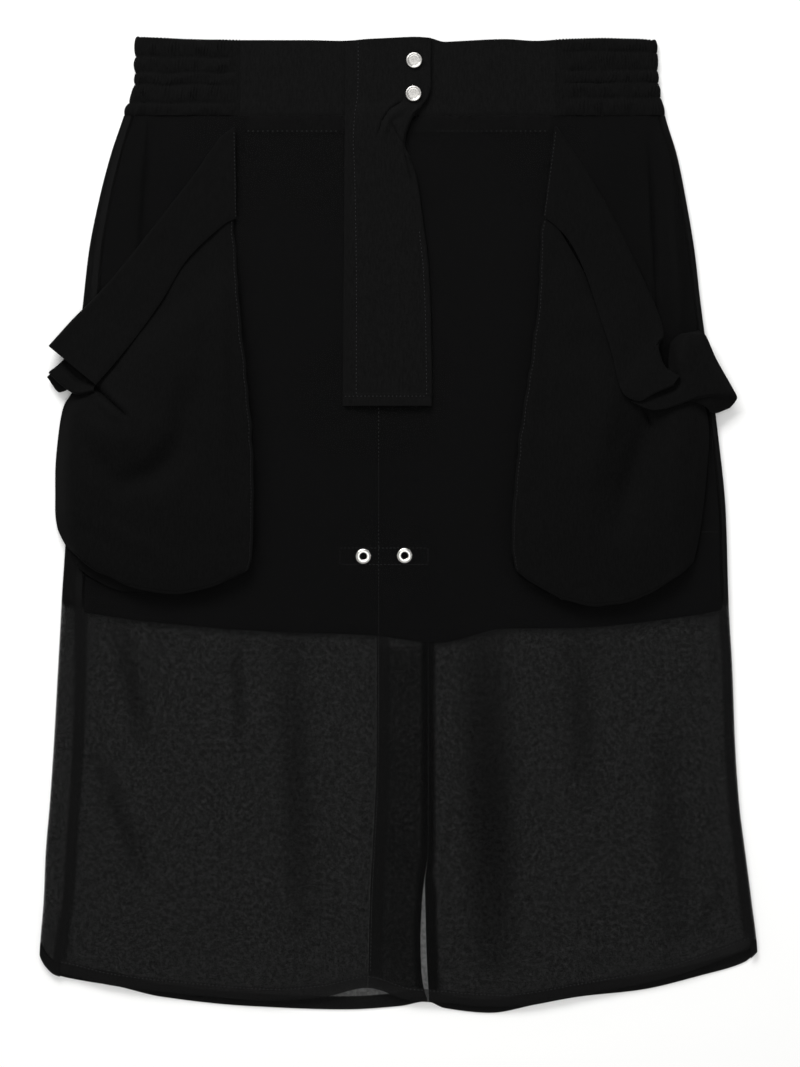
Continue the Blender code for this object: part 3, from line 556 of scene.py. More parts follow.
def backPanel(which):
    # Flat from the centre seam to the side, where it rolls up and lies on itself as far as the seam.
    size = backPanels
    sign = mirror[which]
    flat = round(size["width"][which] / size["columnSpacing"])
    shares = np.linspace(0, 1, flat)
    turn = np.linspace(0, math.pi, size["roll"] + 2)[1:-1]
    lap = np.linspace(0, 1, 8)
    rolled = len(turn)
    lapShares = np.concatenate([np.zeros(flat + rolled), lap])

    def across(down):
        down = np.broadcast_to(down, np.broadcast_shapes(np.shape(down), lapShares.shape))
        edge = side(down, which, wrap=False)
        start = follow(backVent, which, down, "down")
        radius = (frontLevel(edge, down) + layers["wall"]) / 2
        bend = edge + sign * radius
        x = start + np.concatenate([shares, np.ones(rolled + len(lap))]) * (bend - start)
        x[..., flat : flat + rolled] -= (sign * radius)[..., flat : flat + rolled] * np.sin(turn)
        seam = side(down, which)
        x[..., flat + rolled :] = (bend + lapShares * (seam - bend))[..., flat + rolled :]
        return x

    rows = panelRows(size["rowSpacing"])
    x, down = hang(across, panelTop - 0.22, lambda at: follow(backHem, "down", at, "x"), rows)
    height = frontLevel(side(down, which, wrap=False), down) + layers["wall"]
    z = height * np.concatenate([np.zeros(flat), (1 - np.cos(turn)) / 2, np.ones(len(lap))])
    onTop = np.concatenate([np.zeros(flat), np.ones(rolled) * 0.5, np.ones(len(lap))])
    z = z + 0.12 * onTop * waves(x, down, 9, 21)
    fromHem = down[-1:] - down
    hemmed = 1 - ease((fromHem - layers["hem"] + 0.3) / 0.8)
    edge = np.abs(x - follow(backVent, which, down, "down"))
    hemWidth = follow(backVent, "hem" + which.capitalize(), down, "down")
    ventHem = 1 - ease((edge - hemWidth) / 1.0)
    seamEdge = np.abs(x - side(down, which))
    seamed = (1 - ease((seamEdge - frontPanels["sideAllowance"]) / 1.0)) * (onTop > 0.9)
    shut = np.maximum(size["hemCover"] * hemmed, size["seamCover"] * np.maximum(ventHem, seamed))
    toSide = np.abs(x - side(down, which, wrap=False))
    cover = shut + size["sideCover"] * (1 - ease((toSide - 12) / 10)) * (shut < 0.02)
    pastLining = down - follow(liningHem, "down", x, "x")
    lined = (1 - ease((toSide - 18) / 4)) * (1 - ease((pastLining + 8) / 8))
    cover = np.maximum(cover, size["linedCover"] * lined)
    doubled = 0.4 * np.maximum(hemmed, np.maximum(ventHem, seamed))
    name = "backPanel" + which.capitalize()
    cloth(name, points(x, down, z), "sheer", "back_" + which, -sign, cover, doubled)


linings = {
    "inset": 2.0,  # from the side seams
    "hemRise": 0.25,
    "longer": {"back": 1.5, "front": 0.0},
    "intoBand": {"back": 3.0, "front": 0.0},  # how far the lining goes up into the band
}


def lining(which):
    shares = np.linspace(0, 1, 90)

    def across(down):
        left = side(down, "left") + linings["inset"]
        return left + shares * (side(down, "right") - linings["inset"] - left)

    def bottom(at):
        return follow(liningHem, "down", at, "x") + linings["longer"][which]

    rows = np.concatenate([np.linspace(0, 0.96, 60), [0.972, 0.976, 0.985, 0.995, 1.0]])
    x, down = hang(across, panelTop - linings["intoBand"][which], bottom, rows)
    hemmed = ease((rows - 0.972) / 0.004)[:, None]
    under = layers["lining" + which.capitalize()]
    z = under + 0.6 + 0.08 * waves(x, down, 25, 31) + linings["hemRise"] * hemmed
    cloth("lining" + which.capitalize(), points(x, down, z), "lining", "lining_" + which)


facing = {
    "top": 449.0,
    "inset": 1.0,
    "aboveHem": 1.5,
    "cover": -0.45,  # below 0, as it is a thinner cloth than the panels
}


def underlap():
    # the facing behind the centre front seam, seen through the sheer cloth
    shares = np.linspace(0, 1, 20)

    def across(down):
        left = follow(centreFront, "x", down, "down") + facing["inset"]
        right = follow(backVent, "left", down, "down") - facing["inset"]
        return left + shares * (right - left)

    def bottom(at):
        back = follow(backHem, "down", at, "x") - layers["hem"] - 1.2
        return np.minimum(follow(frontHem, "down", at, "x"), back) - facing["aboveHem"]

    x, down = hang(across, facing["top"], bottom, np.linspace(0, 1, 80))
    z = layers["liningBack"] + 0.7 + 0.1 * waves(x, down, 20, 41)
    cover = facing["cover"] + 0.06 * waves(x, down, 30, 43)
    cloth("frontUnderlap", points(x, down, z), "sheer", "front_underlap", -1, cover)


waistEdge = table(  # how far the top edge of the band wanders
    "x drop",
    (-188, -1.5), (-154, 0.0), (-117, 0.7), (-65, 0.8), (-43, 1.3), (-21, 0.0), (-5, -0.8),
    (12, -1.5), (23, -0.8), (34, 2.0), (46, 1.4), (79, 0.0), (101, 1.3), (123, 0.0), (149, -0.7),
    (179, 0.0), (190, 1.2),
)


def wander(x, down):
    return down + follow(waistEdge, "drop", x, "x") * np.maximum(1 - down / 22, 0)


band = {
    "under": 3.0,
    "wall": 1.5,
    "frontWall": 1.8,
    "welt": 0.3,
    "left": -117.0,
    "right": 116.0,
    "channelRise": 1.1,
    "gatherRise": 0.95,
    "gatherPitch": 2.3,
    "return": 14.0,  # part of an elastic side that lies under the skirt
    "groovesLeft": [0.0, 13.5, 25.0, 33.5, 47.5, 56.5],
    "groovesRight": [0.0, 9.5, 23.5, 32.5, 43.5, 56.5],
}


def elasticSide(which):
    # Five rows of elastic draw the side of the band up into channels and fine upright gathers.
    sign = mirror[which]
    inner = band[which]
    grooves = band["grooves" + which.capitalize()]
    downs, rise, channel = [], [], []
    for number, (top, bottom) in enumerate(zip(grooves, grooves[1:])):
        for share in np.arange(10) / 10:
            downs.append(top + share * (bottom - top))
            rise.append(math.sin(math.pi * share) ** 0.65)
            channel.append(number + share)
    downs = np.array(downs + [grooves[-1]])
    rise = np.array(rise + [0.0])[:, None]
    channel = np.array(channel + [len(grooves) - 1.0])[:, None]
    edge = side(downs, which, wrap=False)[:, None]
    radius = (band["under"] - band["wall"]) / 2
    puff = sign * band["channelRise"] * rise * 0.8
    bend = edge - puff + sign * (radius + band["wall"] + band["channelRise"])
    start = inner - sign * 0.03
    count = round(abs(bend.mean() - inner) / 0.6)
    top = start + np.linspace(0, 1, count) * (bend - start)
    turn = np.linspace(0, math.pi, 10)[1:-1]
    roll = bend - sign * radius * np.sin(turn)
    under = bend + sign * np.linspace(0, 1, 6) * band["return"]
    x = np.concatenate([top, roll, under], axis=1)
    rolled = band["wall"] + radius * (1 + np.cos(turn))
    z = np.concatenate([np.full(count, band["under"]), rolled, np.full(6, band["wall"])])
    # each channel has its own gathers, which lean and run into each other
    lean = 2.2 * np.sin(channel * 2.1) + 3.4 * waves(x, channel * 16, 12, 51 + sign)
    gather = 0.5 + 0.5 * np.sin(x * 2 * math.pi / band["gatherPitch"] + lean)
    gather = gather**0.55 * (0.5 + 0.5 * rise)
    gather = gather * np.clip(0.5 + 0.8 * waves(x, channel * 12, 6, 61), 0.1, 1.2)
    onTop = np.concatenate([np.ones(count), 0.5 + 0.5 * np.cos(turn), np.zeros(6)])
    starting = ease(np.abs(x - start) / 12)
    # the grooves fade in and out along the band
    rise = 1 - (1 - rise) * np.clip(0.75 + 0.35 * waves(x, channel * 11, 17, 63), 0.25, 1)
    raised = band["channelRise"] * rise * starting + band["gatherRise"] * gather * starting
    wall = band["wall"] + onTop * raised + band["welt"] * (1 - starting) * onTop
    down = downs[:, None]
    # the top edge is scalloped by the gathers, and the channels sway a little
    scallop = 0.35 * (1 - ease(down / 3)) * np.sin(x * 2 * math.pi / band["gatherPitch"] + lean)
    sway = 0.55 * waves(x, down * 0.12, 16, 65) * np.sin(math.pi * down / layers["waist"])
    grid = lifted(points(x, wander(x, down) + (scallop + sway), z), -sign * wall)
    # the darker crepe here is painted shade of the gathers
    cloth("elasticSide" + which.capitalize(), grid, "paintedGatherShade", "waistband_elastic_" + which, sign)
    return under[:, -1]


def waistband(leftEnd, rightEnd):
    depth = layers["waist"]
    downs = [np.linspace(0, 4, 7), np.linspace(5, 51, 24), np.linspace(52, depth, 8)]
    downs = np.concatenate(downs)[:, None]
    middle = centreFront["x"][0]
    gap = layers["gap"]
    for name, node, start, end in (
        ("bandFrontLeft", "waistband_front_left", band["left"] + 0.03, middle - gap / 2),
        ("bandFrontRight", "waistband_front_right", middle + gap / 2, band["right"] - 0.03),
    ):
        x = np.linspace(start, end, round((end - start) / 2.4))[None]
        top = band["under"] + band["frontWall"]
        edges = bump(downs, 5)
        toElastic = np.minimum(np.abs(x - band["left"]), np.abs(x - band["right"]))
        z = top + band["welt"] * np.minimum(edges, 1) * ease(toElastic / 8) - 0.5 * (1 - ease(downs / 1.2))
        z = z + 0.12 * waves(x, downs, 14, 71) - 0.35 * (1 - ease((depth - downs) / 2.2))
        # the nearest channels of the elastic run a little way into the flat front
        z = z - 0.35 * bump(downs - 33.5, 3.0) * (1 - ease(toElastic / 22))
        z = z - 0.25 * bump(downs - 24.2, 3.0) * (1 - ease(toElastic / 12))
        seamWander = 0.3 * waves(x, downs * 0, 13, 75) * (downs / depth) ** 4
        cloth(name, points(x, wander(x, downs) + seamWander, z), "fused", node)
    x = np.linspace(leftEnd.max() + gap, rightEnd.min() - gap, 120)[None]
    z = 0.9 + 0.1 * waves(x, downs, 14, 73)
    cloth("bandBack", points(x, wander(x, downs), z), "fused", "waistband_back")


placketRows = table(
    "down left right under lift",
    (0.5, -39, 24, 6, 0),
    (20, -39, 24, 6, 0),
    (36, -39.2, 24, 6, 0),
    (42, -39.3, 22.5, 8, 0),
    (47, -39.3, 19.3, 10, 0.1),
    (51, -39.4, 16.5, 11, 0.8),
    (56, -39.5, 12, 13, 1.6),
    (64, -39.5, 8, 14, 1.8),
    (72, -39.5, 5.5, 14, 1.8),
    (79, -39.6, 4.8, 13, 1.6),
    (88, -39.6, 8.5, 11, 1.3),
    (103, -39.8, 13.5, 9, 0.8),
    (133, -40, 18, 7, 0.3),
    (172, -40.3, 22.5, 6, 0),
    (215, -40.6, 24.3, 6, 0),
    (271, -41, 25, 6, 0),
)
placketCreases = table(
    creaseColumns,
    (3, 46.5, -6.5, 52.5, 3.6, -1.3),
    (-6, 52, -12, 61, 3.8, -1.5),
    (-11.5, 60, -15.5, 73, 4.2, -1.1),
    (4, 51, -6, 58, 9, 1.1),
    (-6, 57, -12, 72, 9, 1.3),
    (-8, 57.5, 3, 78, 3.2, -1.0),
    (2.5, 77, 10.5, 109, 3.4, -1.3),
    (0, 64, 8, 96, 9, 1.0),
    (14, 51.5, 6, 66, 5, 1.0),
    (6, 66, 2.6, 80, 5, 0.8),
)
placket = {"bed": 5.6, "roll": 0.35, "hemLine": 262.7, "hemRise": 0.5, "leftLine": 7.5, "groove": 0.2}


def placketStrip():
    # A strip over the front opening. Its right edge is turned under and buckles below the snaps.
    downs = np.concatenate([np.linspace(0.5, 38, 20), np.linspace(39, 104, 66), np.linspace(106, 260, 70)])
    downs = np.concatenate([downs, [261.4, 262.0, 262.7, 263.4, 264, 266, 268, 269.6, 270.5, 271]])[:, None]
    _, left, right, under, lift = (follow(placketRows, name, downs, "down") for name in placketRows)
    wall = layers["wall"]
    radius = placket["roll"] + 0.5 * lift
    bend = right - wall - radius
    shares = np.concatenate([[0, 0.01, 0.025], np.linspace(0.04, 1.0, 68)])
    xTop = left + shares * (bend - left)
    zTop = placket["bed"] + (wall + 2 * radius) * ease(shares / 0.3)
    zTop = zTop + ridges(placketCreases, xTop, downs) + 0.07 * waves(xTop, downs * 0.7, 11, 81)
    fromLeft = xTop - left
    zTop = zTop - 0.3 * (1 - ease(fromLeft / 1.0))
    zTop = zTop - placket["groove"] * bump(fromLeft - placket["leftLine"], 2.0)
    hemmed = ease((downs - 261.8) / 0.8)
    zTop = zTop + placket["hemRise"] * hemmed - 0.25 * bump(downs - placket["hemLine"] - 1.2, 2.0)
    turn = np.linspace(0, math.pi, 12)[1:-1]
    xRoll = bend + radius * np.sin(turn)
    zRoll = placket["bed"] + wall + radius * (1 + np.cos(turn))
    xUnder = bend - under * np.linspace(0, 1, 8)
    zUnder = np.full_like(xUnder, placket["bed"] + wall)
    x = np.concatenate([xTop, xRoll, xUnder], axis=1)
    z = np.concatenate([zTop, zRoll, zUnder], axis=1)
    grid = lifted(points(x, wander(x, downs), z), wall)
    cloth("placketStrip", grid, "fused", "placket")
    hemRow = int(np.argmin(np.abs(downs - placket["hemLine"] - 1.2))) / (len(downs) - 1)
    for row, column in (  # along the left edge, along the turned edge where it lies flat, and the hem
        (np.linspace(0.005, 0.97, 160), 0.155),
        (np.linspace(0.62, 0.965, 90), 0.955),
        (hemRow, np.linspace(0.02, 0.98, 60)),
    ):
        stitch("placketStitches", sample(grid[:, : len(shares)], row, column) + [0, 0, 0.12])


bagColumns = "outer outerDown inner innerDown sag low lift crown"
cuffColumns = "upperX upperDown lowerX lowerDown tuck under fold middle edge"
leftPocket = {
    "bag": table(
        bagColumns,
        (-236, 256, -124, 118, 2, 5.8, 1.2, 0.5),
        (-246.5, 270, -121, 150, 0, 3.6, 2.0, 2.0),
        (-250.5, 291, -118, 192, 0, 2.0, 6.0, 4.5),
        (-253, 322, -112, 250, 3, 1.4, 8.0, 5.0),
        (-253, 347, -107.5, 305, 7, 1.6, 8.2, 4.5),
        (-251.5, 360, -107, 348, 13, 3.0, 8.2, 3.0),
        (-248, 368, -108, 378, 20, 5.0, 8.0, 1.5),
        (-244, 375, -111, 391, 26, 5.6, 7.6, 0.0),
    ),
    "dents": table(
        creaseColumns,
        (-212, 288, -196, 296, 76, 4.2),
        (-147, 250, -160, 310, 44, -2.0),
        (-160, 310, -205, 342, 40, -2.0),
        (-236, 268, -205, 288, 22, -1.6),
        (-244, 262, -212, 264, 26, -3.0),
    ),
    "creases": table(
        creaseColumns,
        (-227, 254, -199, 279, 6.5, -6.5),
        (-216, 261, -192, 282, 11, 1.8),
        (-226, 262, -206, 280, 10, 1.2),
        (-154, 258, -159, 300, 32, -2.4),
        (-159, 296, -178, 322, 32, -2.6),
        (-176, 320, -208, 330, 28, -2.2),
        (-204, 331, -229, 303, 26, -1.6),
        (-229, 305, -237, 272, 20, -1.4),
        (-203, 286, -200, 292, 52, 2.4),
        (-132, 160, -128, 330, 18, 1.2),
        (-142, 190, -148, 290, 16, -0.8),
        (-232, 352, -170, 384, 22, 1.0),
    ),
    "cuff": table(
        cuffColumns,
        (-120.5, 65, -119.5, 133, 14, 6.5, 7.9, 8.1, 8.4),
        (-130, 72, -125, 135, 14, 6.5, 8.0, 8.2, 8.6),
        (-151, 101, -141, 148, 14, 6.5, 8.4, 8.6, 8.8),
        (-176, 133, -158, 166, 13, 6.5, 8.8, 9.0, 9.2),
        (-198, 161, -174, 193, 12, 6.5, 9.2, 9.6, 10.0),
        (-221, 188, -193, 220, 11, 6.5, 9.6, 10.6, 11.6),
        (-240, 207, -208, 239, 7, 6.5, 10.2, 11.5, 13.0),
        (-258, 227, -222.5, 256, 5, 6.5, 10.8, 12.4, 14.6),
    ),
    "end": (  # the loop that the band's outer end makes under itself: lines of x, down and height
        ((-242, 231.5, 5.4), (-235, 239, 5.2), (-226.5, 246.6, 5.4), (-221, 252.5, 7.2)),
        ((-247, 236.4, 5.4), (-243.2, 242.6, 5.0), (-235.6, 250.6, 5.2), (-223.8, 256, 8.0)),
        ((-251.4, 241.6, 8.4), (-244, 250.2, 10.4), (-233, 257, 11.6), (-223.4, 257.4, 11.8)),
        ((-257, 246, 9.2), (-247.5, 255, 10.8), (-235.5, 261.4, 12.8), (-224, 259.4, 13.4)),
        ((-257, 246.6, 7), (-247.5, 255.6, 8.6), (-235.5, 262, 11.4), (-224, 260, 12.6)),
        ((-252, 243, 5.4), (-246, 250, 6.4), (-237, 258.4, 10.6), (-226, 258, 12.2)),
        ((-259.5, 249.5, 3.6), (-250, 261, 5), (-242, 259.5, 9.2), (-230, 258, 11.6)),
    ),
    "endNode": "pocket_left_fold",
}
rightPocket = {
    "bag": table(
        bagColumns,
        (176, 250, 108, 124, -4, 6.4, 1.8, 0.5),
        (202, 266, 105, 150, -2, 6.4, 3.0, 1.5),
        (226, 274, 103.5, 190, 0, 6.4, 6.0, 2.5),
        (228.5, 294, 96, 250, 2, 6.6, 8.0, 5.0),
        (226.5, 325, 89, 298, 6, 6.6, 8.2, 4.5),
        (224, 348, 84.5, 345, 12, 6.6, 8.2, 3.0),
        (221.5, 366, 83.3, 374, 24, 7.0, 8.0, 1.5),
        (217, 386, 86, 391, 30, 8.0, 7.6, 0.0),
    ),
    "dents": table(
        creaseColumns,
        (186, 262, 166, 350, 60, -6.6),
        (120, 300, 118, 345, 60, 1.2),
        (212, 322, 202, 365, 26, 2.0),
    ),
    "creases": table(
        creaseColumns,
        (180, 273, 187, 288, 6, -3.0),
        (188, 278, 161, 358, 30, -2.8),
        (206, 290, 204, 350, 26, 1.6),
        (150, 250, 140, 340, 36, 1.6),
        (98, 200, 94, 330, 16, 0.8),
        (110, 210, 108, 320, 14, -0.6),
        (221, 300, 216, 360, 8, -0.9),
        (229, 291, 235, 307, 6, -0.8),
    ),
    "cuff": table(
        cuffColumns,
        (115.5, 64, 107, 132, 14, 6.5, 7.9, 8.2, 8.8),
        (123, 75, 113, 136, 14, 6.5, 8.0, 8.5, 9.3),
        (135, 93, 126, 150, 14, 6.5, 8.4, 8.8, 9.6),
        (154.5, 125, 137.5, 173, 13, 6.5, 9.0, 9.6, 10.2),
        (170.5, 157, 148.5, 206.5, 12, 6.5, 9.6, 11.4, 13.4),
        (184.5, 187, 157, 234, 11, 6.5, 10.4, 13.8, 16.6),
        (193, 208, 161.5, 254.5, 6, 7.0, 12.0, 16.2, 19.0),
        (195, 218, 165.5, 263.5, 4, 9.0, 13.8, 18.2, 20.6),
        (190.5, 227, 176, 268, 3, 12.0, 16.2, 19.4, 20.8),
        (195, 242, 187, 262.5, 2, 14.6, 18.2, 20.0, 20.8),
        (206, 249.8, 201.5, 256, 1, 17.6, 19.6, 20.0, 20.4),
    ),
    "end": (  # the flared end of the band: inner side, rim, face, lower edge and turned hem
        ((178, 258, 17.0), (189, 256, 15.2), (199, 249.5, 13.4), (199.5, 238, 8.4),
         (200.5, 227, 7.6), (207, 219.5, 7.2), (221, 216, 7.0)),
        ((176, 262, 17.8), (190, 261, 16.2), (205, 254.5, 15.0), (207.5, 240, 17.4),
         (210, 225.5, 14.8), (215.5, 218.5, 11.4), (225.5, 219, 8.4)),
        ((173, 266, 18.6), (189.5, 266, 17.8), (206, 261.5, 17.4), (213, 250, 17.4),
         (217, 240.5, 16.2), (224.5, 235.5, 13.2), (233.5, 236.5, 9.0)),
        ((170.5, 268.5, 19.0), (187, 274.5, 18.8), (205, 270, 18.0), (218, 265, 17.6),
         (230, 262.3, 16.4), (239.5, 261.6, 13.6), (249, 265, 9.5)),
        ((171.5, 268, 18.3), (187, 273.5, 17.9), (205, 269.4, 16.8), (218, 265.4, 15.6),
         (229.5, 264.5, 14.2), (238.5, 266, 11.4), (248, 267.5, 7.6)),
        ((174, 265.5, 18.0), (187.5, 270.5, 17.4), (205, 267, 16.2), (216, 268, 14.6),
         (225, 271.5, 13.4), (232, 276.5, 10.0), (244, 272, 5.6)),
    ),
    "endNode": "pocket_right_flap",
}
pocketForms = {"left": leftPocket, "right": rightPocket}
pocket = {
    "bagWall": 1.2,
    "topstitch": 1.8,  # from the edge of the bag to its line of stitches
    "groove": 0.3,  # how far the stitches draw the cloth in
    "edgeRound": 0.5,
    "setIn": 2.0,  # from the edge of the bag to the bellows' seams, and to its fold
    "foldIn": 8.0,
    "peek": 9.0,  # the left bellows shows beyond the bag at its outer bottom corner
    "crumple": 0.45,
}


def bag(which):
    # A puffed bag: low at its outer side, and held off the panel along its other edges.
    form = pocketForms[which]
    lines = form["bag"]
    at = np.concatenate([np.linspace(0, 6.8, 150), np.linspace(6.82, 7, 12)])[:, None]
    s = np.concatenate([np.linspace(0, 0.12, 16), np.linspace(0.13, 0.95, 80), np.linspace(0.955, 1, 12)])
    outer, outerDown, inner, innerDown, sag, low, lift, crown = (follow(lines, c, at) for c in lines)
    x = outer + s * (inner - outer)
    down = outerDown + s * (innerDown - outerDown) + sag * 4 * s * (1 - s)
    high = layers["overLining"] + layers["wall"] + lift + crown * np.sin(math.pi * s) ** 0.8
    z = low + (high - low) * np.sin(np.minimum(s / 0.12, 1) * math.pi / 2)
    z = z + ridges(form["dents"], x, down) * np.sin(math.pi * s) ** 0.5
    base = points(x, down, z)
    toInner = np.linalg.norm(base - base[:, -1:], axis=-1)
    toBottom = np.linalg.norm(base - base[-1:], axis=-1)
    toEdge = np.minimum(toInner, toBottom)
    settle = ease(toEdge / 12) * ease(s * 8)
    z = z + ridges(form["creases"], x, down) * ease(toEdge / 6)
    z = z - pocket["groove"] * bump(toEdge - pocket["topstitch"], 2.4)
    z = z - pocket["edgeRound"] * (1 - ease(toEdge / 1.6))
    z = z + pocket["crumple"] * settle * (waves(x, down, 26, 91) + 0.45 * waves(x, down, 11, 93))
    # The edges aren't quite straight, and the cloth draws in a little between the stitches.
    x = x + 0.5 * (1 - ease(toInner / 14)) * waves(down, x * 0, 9, 95)
    down = down + 0.7 * (1 - ease(toBottom / 14)) * waves(x, down * 0, 12, 96)
    grid = lifted(points(x, down, z), mirror[which] * pocket["bagWall"])
    cloth("pocketBag" + which.capitalize(), grid, "crepe", f"pocket_{which}_bag", -mirror[which])
    # the line on the bag that keeps its distance from the inner edge
    share = np.linspace(0.02, 0.985, 240)
    rows = np.round(share * (grid.shape[0] - 1)).astype(int)
    columns = np.argmin(np.abs(toInner[rows] - pocket["topstitch"]), axis=1)
    line = grid[rows, columns]
    line[:, 2] += 0.12 - 0.2 * ease((share - 0.45) / 0.3)  # drawn deeper where the bag is fuller
    stitch("pocketStitches", line)
    return base


def gusset(which, base):
    # A bellows wall under the edge of the bag, folded inward like a sideways V.
    sign = mirror[which]
    first = round(base.shape[0] * 0.36)
    edge = np.concatenate([base[first:, -1], base[-1, -2 : round(base.shape[1] * 0.08) : -1]])
    run = np.concatenate([[0], np.cumsum(np.linalg.norm(np.diff(edge[:, :2], axis=0), axis=1))])
    at = np.linspace(0, run[-1], 120)
    path = np.stack([np.interp(at, run, edge[:, k]) for k in range(3)], axis=1)
    even = [np.convolve(np.pad(path[:, k], 4, "edge"), np.ones(9) / 9, "valid") for k in range(2)]
    along = np.gradient(np.stack(even, axis=1), axis=0)
    along /= np.linalg.norm(along, axis=1, keepdims=True)
    inward = sign * np.stack([along[:, 1], -along[:, 0]], axis=1)
    seat = path[:, :2] + pocket["setIn"] * inward
    foot = frontTop(seat[:, 0], skirtLength / 2 - seat[:, 1]) + 1.8
    head = path[:, 2] - 1.9
    rails = []
    peek = pocket["peek"] * ease((at / run[-1] - 0.76) / 0.16) if which == "left" else 0.0
    for share in np.linspace(0, 1, 13):
        depth = pocket["setIn"] + (pocket["foldIn"] - pocket["setIn"]) * math.sin(math.pi * share) ** 0.8
        depth = depth - peek * share**2
        spot = path[:, :2] + (depth + 0.25 * waves(at, share * 6, 9, 97))[:, None] * inward
        rails.append(np.concatenate([spot, (head + share * (foot - head))[:, None]], axis=1))
    name = "pocketGusset" + which.capitalize()
    cloth(name, np.stack(rails, axis=1), "crepe", f"pocket_{which}_gusset", sign)


def cuff(which):
    # The turned mouth of a pocket: a short under layer, the fold, and the wide upper layer.
    stations = pocketForms[which]["cuff"]
    at = np.linspace(0, len(stations["fold"]) - 1, 110)[:, None]
    ux, ud, wx, wd, tuck, below, fold, middle, edge = (follow(stations, c, at) for c in stations)
    width = np.hypot(wx - ux, wd - ud)
    radius = (fold - below) / 2
    turn = np.linspace(0, math.pi, 12)[1:-1]
    start = layers["wall"] + radius
    back = np.linspace(1, 0, 6)[:-1]
    wide = np.linspace(0, 1, 34)[1:]
    over = [start - radius * np.sin(turn), start, start + wide * (width - start)]
    reach = np.concatenate([start + tuck * back, start, *over], axis=1)
    share = np.concatenate([np.zeros(1), wide])
    lower = fold + (middle - fold) * ease(share / 0.6) + (edge - middle) * ease((share - 0.5) / 0.5)
    under = np.repeat(below, len(back) + 1, axis=1)
    z = np.concatenate([under, below + radius * (1 - np.cos(turn)), lower], axis=1)
    x = ux + (wx - ux) * reach / width
    down = ud + (wd - ud) * reach / width
    hidden = np.zeros(len(back) + 1 + len(turn))
    onTop = np.concatenate([hidden, ease(share / 0.15)])
    z = z + onTop * (0.3 * waves(x, down, 18, 101) + 0.12 * waves(x, down, 7, 103))
    z = z - 0.3 * np.concatenate([hidden, 1 - ease((1 - share) / 0.04)])
    grid = lifted(points(x, down, z), mirror[which] * layers["wall"])
    cloth("pocketCuff" + which.capitalize(), grid, "crepe", f"pocket_{which}_cuff", -mirror[which])
    v = np.linspace((len(hidden) + 1) / (grid.shape[1] - 1), 0.995, 60)
    stitch("pocketStitches", sample(grid, 0.012, v) + [0, 0, 0.12])


def cuffEnd(which):
    # a sheet that passes through a few lines in turn
    form = pocketForms[which]
    share = np.linspace(0, 1, 48)
    rails = []
    for line in form["end"]:
        steps = share * (len(line) - 1)
        rail = table("x down z", *line)
        rails.append(np.stack([follow(rail, c, steps) for c in rail], axis=-1))
    rails = np.array(rails)
    steps = np.linspace(0, len(rails) - 1, 10 * (len(rails) - 1) + 1)
    columns = [
        [follow({"place": rails[:, column, axis]}, "place", steps) for column in range(len(share))]
        for axis in range(3)
    ]
    x, down, z = np.array(columns).transpose(0, 2, 1)
    grid = lifted(points(x, down, z), layers["wall"])
    cloth("pocketEnd" + which.capitalize(), grid, "crepe", form["endNode"])


def turned(name, profile, finish, node, sides=64):
    # a piece turned from (radius, height) pairs round the middle of its solid
    low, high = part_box(node)
    mesh = bpy.data.meshes.new(name)
    count = len(profile)
    edges = [(i, i + 1) for i in range(count - 1)]
    if profile[0][0] > 0:
        edges.append((count - 1, 0))
    mesh.from_pydata([(r * mm, 0, z * mm) for r, z in profile], edges, [])
    piece = bpy.data.objects.new(name, mesh)
    place(piece, finish, node)
    piece.location = ((low[0] + high[0]) / 2, (low[1] + high[1]) / 2, low[2])
    screw = piece.modifiers.new("turn", "SCREW")
    screw.steps = screw.render_steps = sides
    screw.use_merge_vertices = True
    screw.merge_threshold = 0.00001
    screw.use_smooth_shade = True


fastenings = {
    "capRadius": 5.85,
    "capHeight": 1.7,
    "ringRadius": 5.75,
    "ringHole": 2.45,
    "ringSeat": 1.3,  # height of the front panel's face over the foot of the barrel
    "ringRise": 1.3,
    "barrelRadius": 3.4,
}


def snaps():
    # Closed press fasteners: pressed caps with a rolled rim and a shallow dished middle.
    r, h = fastenings["capRadius"], fastenings["capHeight"]
    profile = [(0, h - 0.42), (r - 2.6, h - 0.46), (r - 1.75, h - 0.5), (r - 1.5, h - 0.36)]
    profile += [(r - 1.25, h - 0.1), (r - 0.95, h), (r - 0.6, h - 0.02), (r - 0.28, h - 0.18)]
    profile += [(r - 0.08, h - 0.45), (r, h - 0.8), (r - 0.15, h - 1.1), (r - 0.4, 0), (0, 0)]
    turned("snapUpper", profile, "cap", "snap_upper")
    turned("snapLower", profile, "cap", "snap_lower")


def eyelets():
    # Rolled rings with a barrel through the front panel.
    r, hole, seat = fastenings["ringRadius"], fastenings["ringHole"], fastenings["ringSeat"]
    top = seat + fastenings["ringRise"]
    barrel = fastenings["barrelRadius"]
    profile = [(hole, top - 0.75), (hole + 0.15, top - 0.35), (hole + 0.5, top - 0.08), (hole + 1.0, top)]
    profile += [(r - 1.7, top - 0.06), (r - 1.1, top - 0.2), (r - 0.6, top - 0.45), (r - 0.15, seat + 0.5)]
    profile += [(r, seat + 0.25), (r - 0.1, seat), (barrel, seat), (barrel, 0), (hole, 0)]
    turned("eyeletLeft", profile, "ring", "eyelet_left")
    turned("eyeletRight", profile, "ring", "eyelet_right")


topstitching = {
    "centre": (272, 690, 1.8),  # from, to, and how far to the right of the seam
    "underBand": ((-112, -43), (28, 110)),
    "underBandPitch": 3.6,
    "patch": (-43.3, 21.8, 375.9, 388.1),  # behind the eyelets: left, right, top and bottom
    "patchPitch": 2.8,
    "tack": (223.5, 236.5, 364.0),  # a short row beside the right pocket's lower end
    "tackPitch": 2.6,
}


def frontLine(x, down):
    x, down = np.broadcast_arrays(np.asarray(x, float), np.asarray(down, float))
    return points(x, down, frontTop(x, down) + 0.16)


